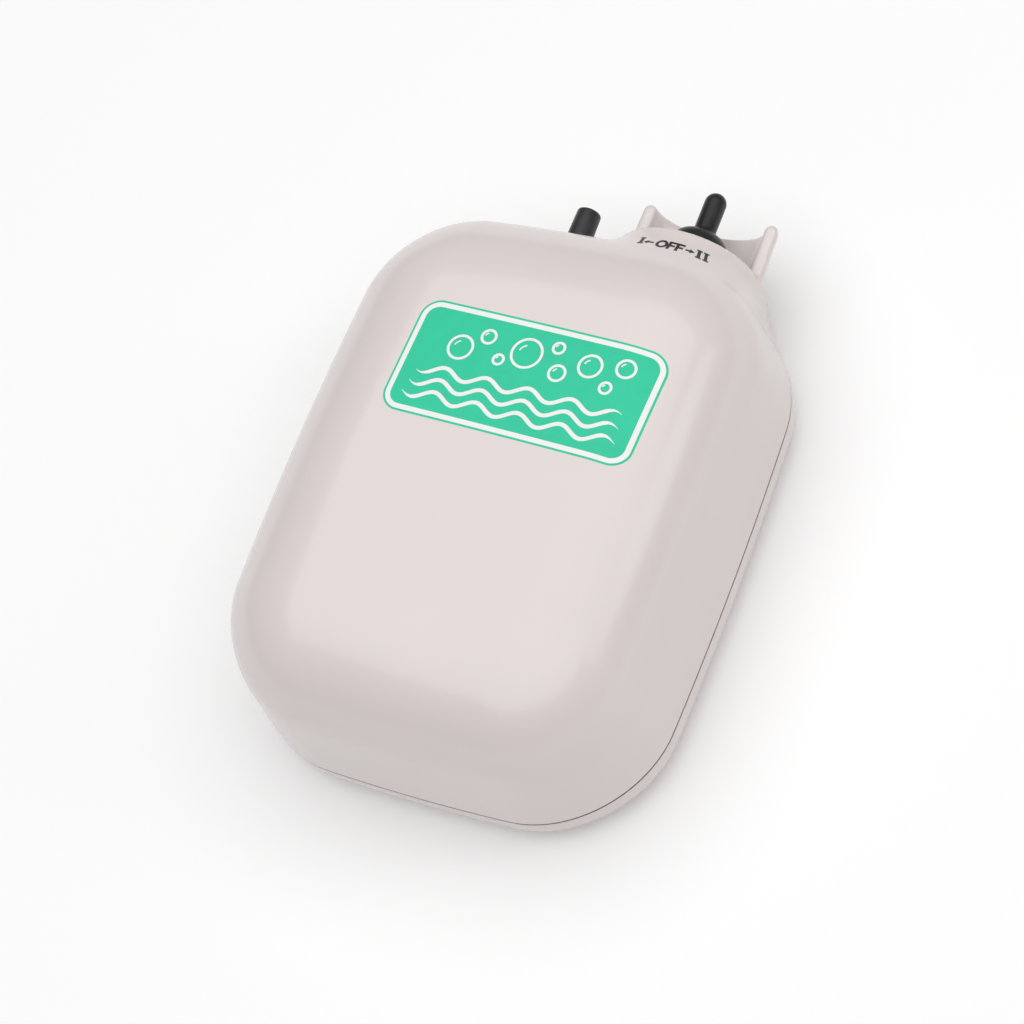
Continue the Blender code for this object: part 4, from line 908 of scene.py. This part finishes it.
def slab(place, rows, top, closed=False):
    """A thin solid laid on the skin: rows of flat points, its top above the skin and its foot below."""
    count_r, count_c = rows.shape[:2]
    base = place(rows.reshape(-1, 2))
    out = gradient(front_field, base)
    out /= np.linalg.norm(out, axis=1, keepdims=True)
    points = np.concatenate([base + out * top, base - out * PRINT_SUNK])
    size = count_r * count_c
    number = np.arange(size).reshape(count_r, count_c)
    if closed:
        number = np.column_stack([number, number[:, 0]])
    cells = [number[:-1, :-1], number[:-1, 1:], number[1:, 1:], number[1:, :-1]]
    cells = np.stack(cells, axis=-1).reshape(-1, 4)
    faces = cells.tolist() + (cells[:, ::-1] + size).tolist()
    edges = [number[0, ::-1], number[-1]]
    if not closed:
        edges += [number[:, 0], number[::-1, -1]]
    for edge in edges:
        for a, b in zip(edge, edge[1:]):
            faces.append((b, a, a + size, b + size))
    return points, faces


def merged(name, parts):
    """One object from several lists of points and faces."""
    points = []
    faces = []
    for part_points, part_faces in parts:
        start = len(points)
        points += part_points.tolist()
        faces += [tuple(i + start for i in face) for face in part_faces]
    return object_from(name, points, faces)


def ribbon(path, widths, closed=False):
    """Two rows of points either side of a path."""
    path = np.asarray(path, dtype=float)
    if closed:
        ways = np.roll(path, -1, axis=0) - np.roll(path, 1, axis=0)
    else:
        ways = np.gradient(path, axis=0)
    ways /= np.linalg.norm(ways, axis=1, keepdims=True)
    halves = np.broadcast_to(widths, len(path)) / 2
    side = np.column_stack([-ways[:, 1], ways[:, 0]]) * halves[:, None]
    return np.stack([path + side, path - side])


def straight(start, end, step=0.4):
    """Evenly spaced points on a line."""
    count = max(int(np.hypot(end[0] - start[0], end[1] - start[1]) / step) + 2, 3)
    return np.linspace(start, end, count)


def on_panel(flat):
    """Flat points of the panel's own axes, turned and moved to its place on the front face."""
    c, s = cos(PANEL_TURN), sin(PANEL_TURN)
    return front_points(flat @ np.array([[c, s], [-s, c]]) + PANEL_AT)


def panel_loop(inset):
    """Points round the panel, inside its edge."""
    radius = PANEL_R - inset
    return rounded(PANEL_W / 2 - inset, PANEL_H / 2 - inset, radius, steps=10, across=29, along=10)


def panel_rows(inset, corner_rows=8, middle_rows=14, columns=56):
    """Rows of points that fill the panel, closer together round its corners."""
    half_w = PANEL_W / 2 - inset
    half_h = PANEL_H / 2 - inset
    radius = PANEL_R - inset
    corner = [half_h - radius + radius * sin(pi / 2 * i / corner_rows) for i in range(corner_rows + 1)]
    middle = list(np.linspace(-corner[0], corner[0], middle_rows))
    rows = []
    for y in [-y for y in reversed(corner)] + middle[1:-1] + corner:
        past = max(abs(y) - (half_h - radius), 0)
        reach = half_w - radius + np.sqrt(max(radius**2 - past**2, 0))
        rows.append(np.column_stack([np.linspace(-reach, reach, columns), np.full(columns, y)]))
    return np.array(rows)


def panel_frame(outer, inner):
    """A band round the panel between two insets."""
    return slab(on_panel, np.stack([panel_loop(outer), panel_loop(inner)]), PRINT_T, True)


def make_panel():
    """A green panel with a white line inside its edge, three waves and rising bubbles."""
    piece(merged("panel", [slab(on_panel, panel_rows(BORDER), PRINT_T)]), "panel", "print_green", "case")
    piece(merged("panel_edge", [panel_frame(0.0, OUTER_LINE)]), "panel_edge", "print_green", "case")
    white = [panel_frame(OUTER_LINE, BORDER)]
    for level, reach in WAVES:
        x = np.linspace(-reach, reach, WAVE_POINTS)
        wave = np.column_stack([x, level + WAVE_RISE * np.sin(x * 2 * pi / WAVE_L)])
        width = WAVE_W * np.clip((reach - np.abs(x)) / WAVE_FADE, WAVE_TIP, 1)
        white.append(slab(on_panel, ribbon(wave, width), 2 * PRINT_T))
    for x, y, radius in BUBBLES:
        rim = circle(radius, (x, y), steps=32)
        white.append(slab(on_panel, ribbon(rim, BUBBLE_W, True), 2 * PRINT_T, True))
        glint = circle(radius * GLINT_IN, (x, y), 8, GLINT_FROM, GLINT_TURN)
        white.append(slab(on_panel, ribbon(glint, GLINT_W), 2 * PRINT_T))
    piece(merged("panel_lines", white), "panel_lines", "print_white", "case")


def make_markings():
    """I, OFF and II with arrows between them, printed round the front of the boss."""
    half = MARK_H / 2
    middle = MARK_Y + half
    top = MARK_Y + MARK_H
    parts = []

    def stroke(start, end, width=MARK_W):
        parts.append(slab(boss_points, ribbon(straight(start, end), width), PRINT_T))

    def numeral(x, lean=0.0, up=0.0):
        low = MARK_Y + up
        high = low + MARK_H - up / 2
        stroke((x + lean, low), (x, high), NUMERAL_W)
        for foot, y in ((x + lean, low + MARK_W / 3), (x, high - MARK_W / 3)):
            stroke((foot - SERIF, y), (foot + SERIF, y), SERIF_W)

    def arrow(tail, tip):
        way = 1 if tip > tail else -1
        stroke((tail, middle), (tip - way * (HEAD_L - HEAD_LAP), middle), ARROW_W)
        head = straight((tip - way * HEAD_L, middle), (tip, middle), HEAD_STEP)
        widths = np.linspace(HEAD_W, HEAD_TIP, len(head))
        parts.append(slab(boss_points, ribbon(head, widths), PRINT_T))

    numeral(ONE_AT, ONE_LEAN, ONE_UP)
    arrow(*ARROW_LEFT)
    ring = [(RING_R * u, middle + (half - MARK_W / 2) * v) for u, v in circle(1, steps=32)]
    parts.append(slab(boss_points, ribbon(ring, MARK_W, True), PRINT_T, True))
    for x in FS_AT:
        stroke((x, MARK_Y), (x, top))
        stroke((x, top - MARK_W / 2), (x + F_TOP_L, top - MARK_W / 2))
        stroke((x, middle), (x + F_BAR_L, middle))
    arrow(*ARROW_RIGHT)
    for x in TWO_AT:
        numeral(x)
    piece(merged("switch_marks", parts), "switch_marks", "print_black", "case")


# Switch boot, outlet, cells


def make_boot():
    """The rubber boot: a flange, a foot round the nut, a dome and a finger, hollow over the lever."""
    base_low, base_high = box_mm("boot_base")
    finger_low, finger_high = box_mm("boot_finger")
    foot = base_low[1]
    radius = (base_high[0] - base_low[0]) / 2
    tip = finger_high[1]
    finger_r = (finger_high[0] - finger_low[0]) / 2
    lever_tip = box_mm("toggle_lever")[1][1]
    waist = foot + BOOT_WAIST
    neck = waist + BOOT_NECK
    shoulder = foot + BOOT_SHOULDER
    flange = radius + BOOT_FLANGE
    outer = [(flange - BOOT_FLANGE_EDGE, foot), (flange, foot + BOOT_FLANGE_EDGE), (flange - 0.1, foot + 0.5)]
    outer += [(radius + 0.5, foot + 0.75), (radius, foot + 1.2), (radius - 0.15, foot + 1.8)]
    dome_steps = 13
    throat = finger_r + BOOT_NECK_R
    for i in range(dome_steps):
        turn = pi / 2 * i / dome_steps
        reach = throat + (radius - BOOT_DRAW - throat) * cos(turn)
        outer.append((reach, shoulder + (waist - shoulder) * sin(turn)))
    neck_steps = 6
    for i in range(neck_steps + 1):
        turn = pi / 2 * i / neck_steps
        outer.append((finger_r + BOOT_NECK_R * (1 - sin(turn)), waist + BOOT_NECK * (1 - cos(turn))))
    outer.append((finger_r, (neck + tip) / 2))
    outer += arc((0, tip - finger_r), finger_r, 0, 90, 10)[:-1]
    outer.append((0, tip))
    bore = BOOT_BORE_R
    roof = lever_tip + CLEAR
    inner = [(0, roof), (bore * 0.7, roof), (bore, lever_tip - 0.6), (bore, neck), (bore + 0.4, waist)]
    inner_steps = 8
    mouth = bore + 0.6
    for i in range(inner_steps + 1):
        turn = pi / 2 * (inner_steps - i) / inner_steps
        reach = mouth + (radius - BOOT_SKIN - mouth) * cos(turn)
        inner.append((reach, shoulder - 0.5 + (waist - shoulder - 0.4) * sin(turn)))
    inner.append((radius - BOOT_SKIN, foot))
    boot = turned("boot", outer + inner, "Y", (BOSS_X, TOP_Z))
    boot.name = "boot"
    dress(boot, "black_rubber", 45)
    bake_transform(boot)
    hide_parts("boot_base", "boot_finger")


def make_nipple():
    """The outlet: a flange inside the case and a slightly tapered tube with a rounded mouth."""
    low, high = box_mm("outlet_nipple")
    foot, tip = low[1], high[1]
    flange_r = (high[0] - low[0]) / 2
    flange_top = foot + FLANGE_H
    flat_r = flange_r - FLANGE_EDGE
    neck = NIPPLE_NECK_R
    root = NIPPLE_ROOT_R
    profile = [(NIPPLE_BORE_R, foot), (flat_r, foot), (flange_r, foot + FLANGE_EDGE)]
    profile += [(flange_r, flange_top - FLANGE_EDGE), (flat_r, flange_top), (neck, flange_top)]
    profile += [(neck, NIPPLE_OUT_Y - NIPPLE_FLARE), (root, NIPPLE_OUT_Y)]
    profile.append((root, NIPPLE_OUT_Y + NIPPLE_ROOT_L))
    profile += arc((NIPPLE_TIP_R - NIPPLE_ROUND, tip - NIPPLE_ROUND), NIPPLE_ROUND, 0, 90, 5)
    profile += [(NIPPLE_BORE_R + 0.25, tip), (NIPPLE_BORE_R, tip - 0.3)]
    nipple = turned("nipple", profile, "Y", (OUTLET_X, TOP_Z), steps=56)
    piece(nipple, "nipple", "black_plastic", "case", "outlet_nipple")


def make_cells():
    """Cells with a rolled jacket, a bare rim and a raised cap, without any lettering."""
    for number, way in ((1, 1), (2, -1)):
        low, high = box_mm(f"battery_{number}")
        foot = low[1] if way > 0 else high[1]
        length = high[1] - low[1]
        centre = ((low[0] + high[0]) / 2, (low[2] + high[2]) / 2)
        top = length - CELL_STEP
        profile = [(0, 0.5), (12.5, 0.5), (13.0, 0.0), (15.2, 0.0), (CELL_RIM_R, 0.5), (16.0, 0.2)]
        profile += arc((CELL_R - 0.8, 1.0), 0.8, -90, 0, 5)
        profile += arc((CELL_R - 0.8, top - 1.0), 0.8, 0, 90, 5)
        profile += [(CELL_RIM_R, top - 0.6), (9.0, top - 0.3), (5.4, top - 0.3), (CELL_CAP_R, top + 0.2)]
        profile += arc((CELL_CAP_R - 0.4, length - 0.4), 0.4, 0, 90, 4) + [(0, length)]
        outline_y = [(radius, foot + way * along) for radius, along in profile]
        cell = turned("cell", outline_y, "Y", centre, steps=96)
        piece(cell, f"cell_{number}", "cell_wrap", "case", f"battery_{number}", sharp=30)
        cell.data.materials.append(MATERIALS["steel"])
        for face in cell.data.polygons:
            across = np.hypot(face.center.x / MM - centre[0], face.center.z / MM - centre[1])
            face.material_index = int(across < CELL_BARE_R)


def make_springs():
    """Coils of wire between the link plate and the cells."""
    steps = 32 * SPRING_TURNS
    wire = SPRING_WIRE_R
    for number in (1, 2):
        low, high = box_mm(f"contact_spring_{number}")
        radius = (high[0] - low[0]) / 2 - wire
        centre = (low + high) / 2
        curve = bpy.data.curves.new("spring", "CURVE")
        curve.dimensions = "3D"
        curve.bevel_depth = wire * MM
        curve.bevel_resolution = 4
        curve.use_fill_caps = True
        line = curve.splines.new("POLY")
        line.points.add(steps)
        for i in range(steps + 1):
            turn = 2 * pi * SPRING_TURNS * i / steps
            along = low[1] + wire + (high[1] - low[1] - 2 * wire) * i / steps
            place = (centre[0] + radius * cos(turn), along, centre[2] + radius * sin(turn))
            line.points[i].co = (*[v * MM for v in place], 1)
        thing = bpy.data.objects.new("spring", curve)
        bpy.context.scene.collection.objects.link(thing)
        piece(thing, f"spring_{number}", "steel", "case", f"contact_spring_{number}")


def dress_cad_nodes():
    """The CAD nodes that stay get their material, and a small bevel that catches the light."""
    slots = {part["node"]: part["material_slot"] for part in frame["record"]["subparts"]}
    for name, node in frame["nodes"].items():
        if node.hide_render:
            continue
        dress(node, slots[name], CAD_SHARP)
        if name.endswith("_wire"):
            round_off = node.modifiers.new("round", "SUBSURF")
            round_off.levels = 1
            round_off.render_levels = 1
        else:
            edge = node.modifiers.new("edge", "BEVEL")
            edge.width = CAD_BEVEL * MM
            edge.segments = 2
            edge.limit_method = "ANGLE"
            edge.angle_limit = CAD_BEVEL_ANGLE


# Studio

CAMERA_AZIMUTH = -38.28
CAMERA_TILT = 31.69  # from straight above
CAMERA_ROLL = 22.05
CAMERA_DIST = 535.62
CAMERA_AIM = Vector((0, 0, 10))
LENS = 91.61
SENSOR_W = 36
SHIFT = (-0.01132, 0.01828)

# In metres and watts
CLIP = (0.01, 60.0)
LIGHTS = (("key", (0.12, -0.02, 1.75), 3.6, 46), ("streak", (1.15, 0.5, 0.75), 0.5, 1.2))
LIGHT_AIM = (0, 0, 0.02)
WORLD_LIGHT = 0.24
FLOOR_REACH = 20.0
FLOOR_DOWN = 0.0002
FLOOR_WHITE = 0.97


def make_camera():
    """The camera that was fitted to the photograph."""
    azimuth = radians(CAMERA_AZIMUTH)
    tilt = radians(CAMERA_TILT)
    roll = radians(CAMERA_ROLL)
    back = Vector((sin(tilt) * cos(azimuth), sin(tilt) * sin(azimuth), cos(tilt)))
    right = (-back).cross(Vector((0, 1, 0))).normalized()
    up = right.cross(-back)
    across = right * cos(roll) + up * sin(roll)
    upright = up * cos(roll) - right * sin(roll)
    data = bpy.data.cameras.new("camera")
    data.lens = LENS
    data.sensor_width = SENSOR_W
    data.shift_x, data.shift_y = SHIFT
    data.clip_start, data.clip_end = CLIP
    camera = bpy.data.objects.new("camera", data)
    turn = Matrix((across, upright, back)).transposed().to_4x4()
    camera.matrix_world = Matrix.Translation((back * CAMERA_DIST + CAMERA_AIM) * MM) @ turn
    bpy.context.scene.collection.objects.link(camera)
    bpy.context.scene.camera = camera


def make_light(name, place, size, power, aim=LIGHT_AIM):
    data = bpy.data.lights.new(name, "AREA")
    data.shape = "DISK"
    data.size = size
    data.energy = power
    light = bpy.data.objects.new(name, data)
    light.location = place
    light.rotation_euler = (Vector(aim) - Vector(place)).to_track_quat("-Z", "Y").to_euler()
    bpy.context.scene.collection.objects.link(light)


def make_studio():
    """A white floor under a large soft light, with a small one for the streaks of shine."""
    mesh = bpy.data.meshes.new("floor")
    reach = FLOOR_REACH
    corners = [(-reach, -reach, 0), (reach, -reach, 0), (reach, reach, 0), (-reach, reach, 0)]
    mesh.from_pydata(corners, [], [(0, 1, 2, 3)])
    floor = bpy.data.objects.new("floor", mesh)
    floor.location.z = -FLOOR_DOWN
    bpy.context.scene.collection.objects.link(floor)
    paint = bpy.data.materials.new("floor")
    paint.use_nodes = True
    shader = paint.node_tree.nodes["Principled BSDF"]
    shader.inputs["Base Color"].default_value = (FLOOR_WHITE, FLOOR_WHITE, FLOOR_WHITE, 1)
    shader.inputs["Roughness"].default_value = 0.9
    mesh.materials.append(paint)
    world = bpy.data.worlds.new("studio")
    world.use_nodes = True
    background = world.node_tree.nodes["Background"]
    background.inputs["Color"].default_value = (1, 1, 1, 1)
    background.inputs["Strength"].default_value = WORLD_LIGHT
    bpy.context.scene.world = world
    bpy.context.scene.view_settings.view_transform = "Standard"
    for name, place, size, power in LIGHTS:
        make_light(name, place, size, power)


make_front_shell()
make_rear_shell()
make_gasket()
make_coin_screw()
make_panel()
make_markings()
make_boot()
make_nipple()
make_cells()
make_springs()
dress_cad_nodes()
make_camera()
make_studio()
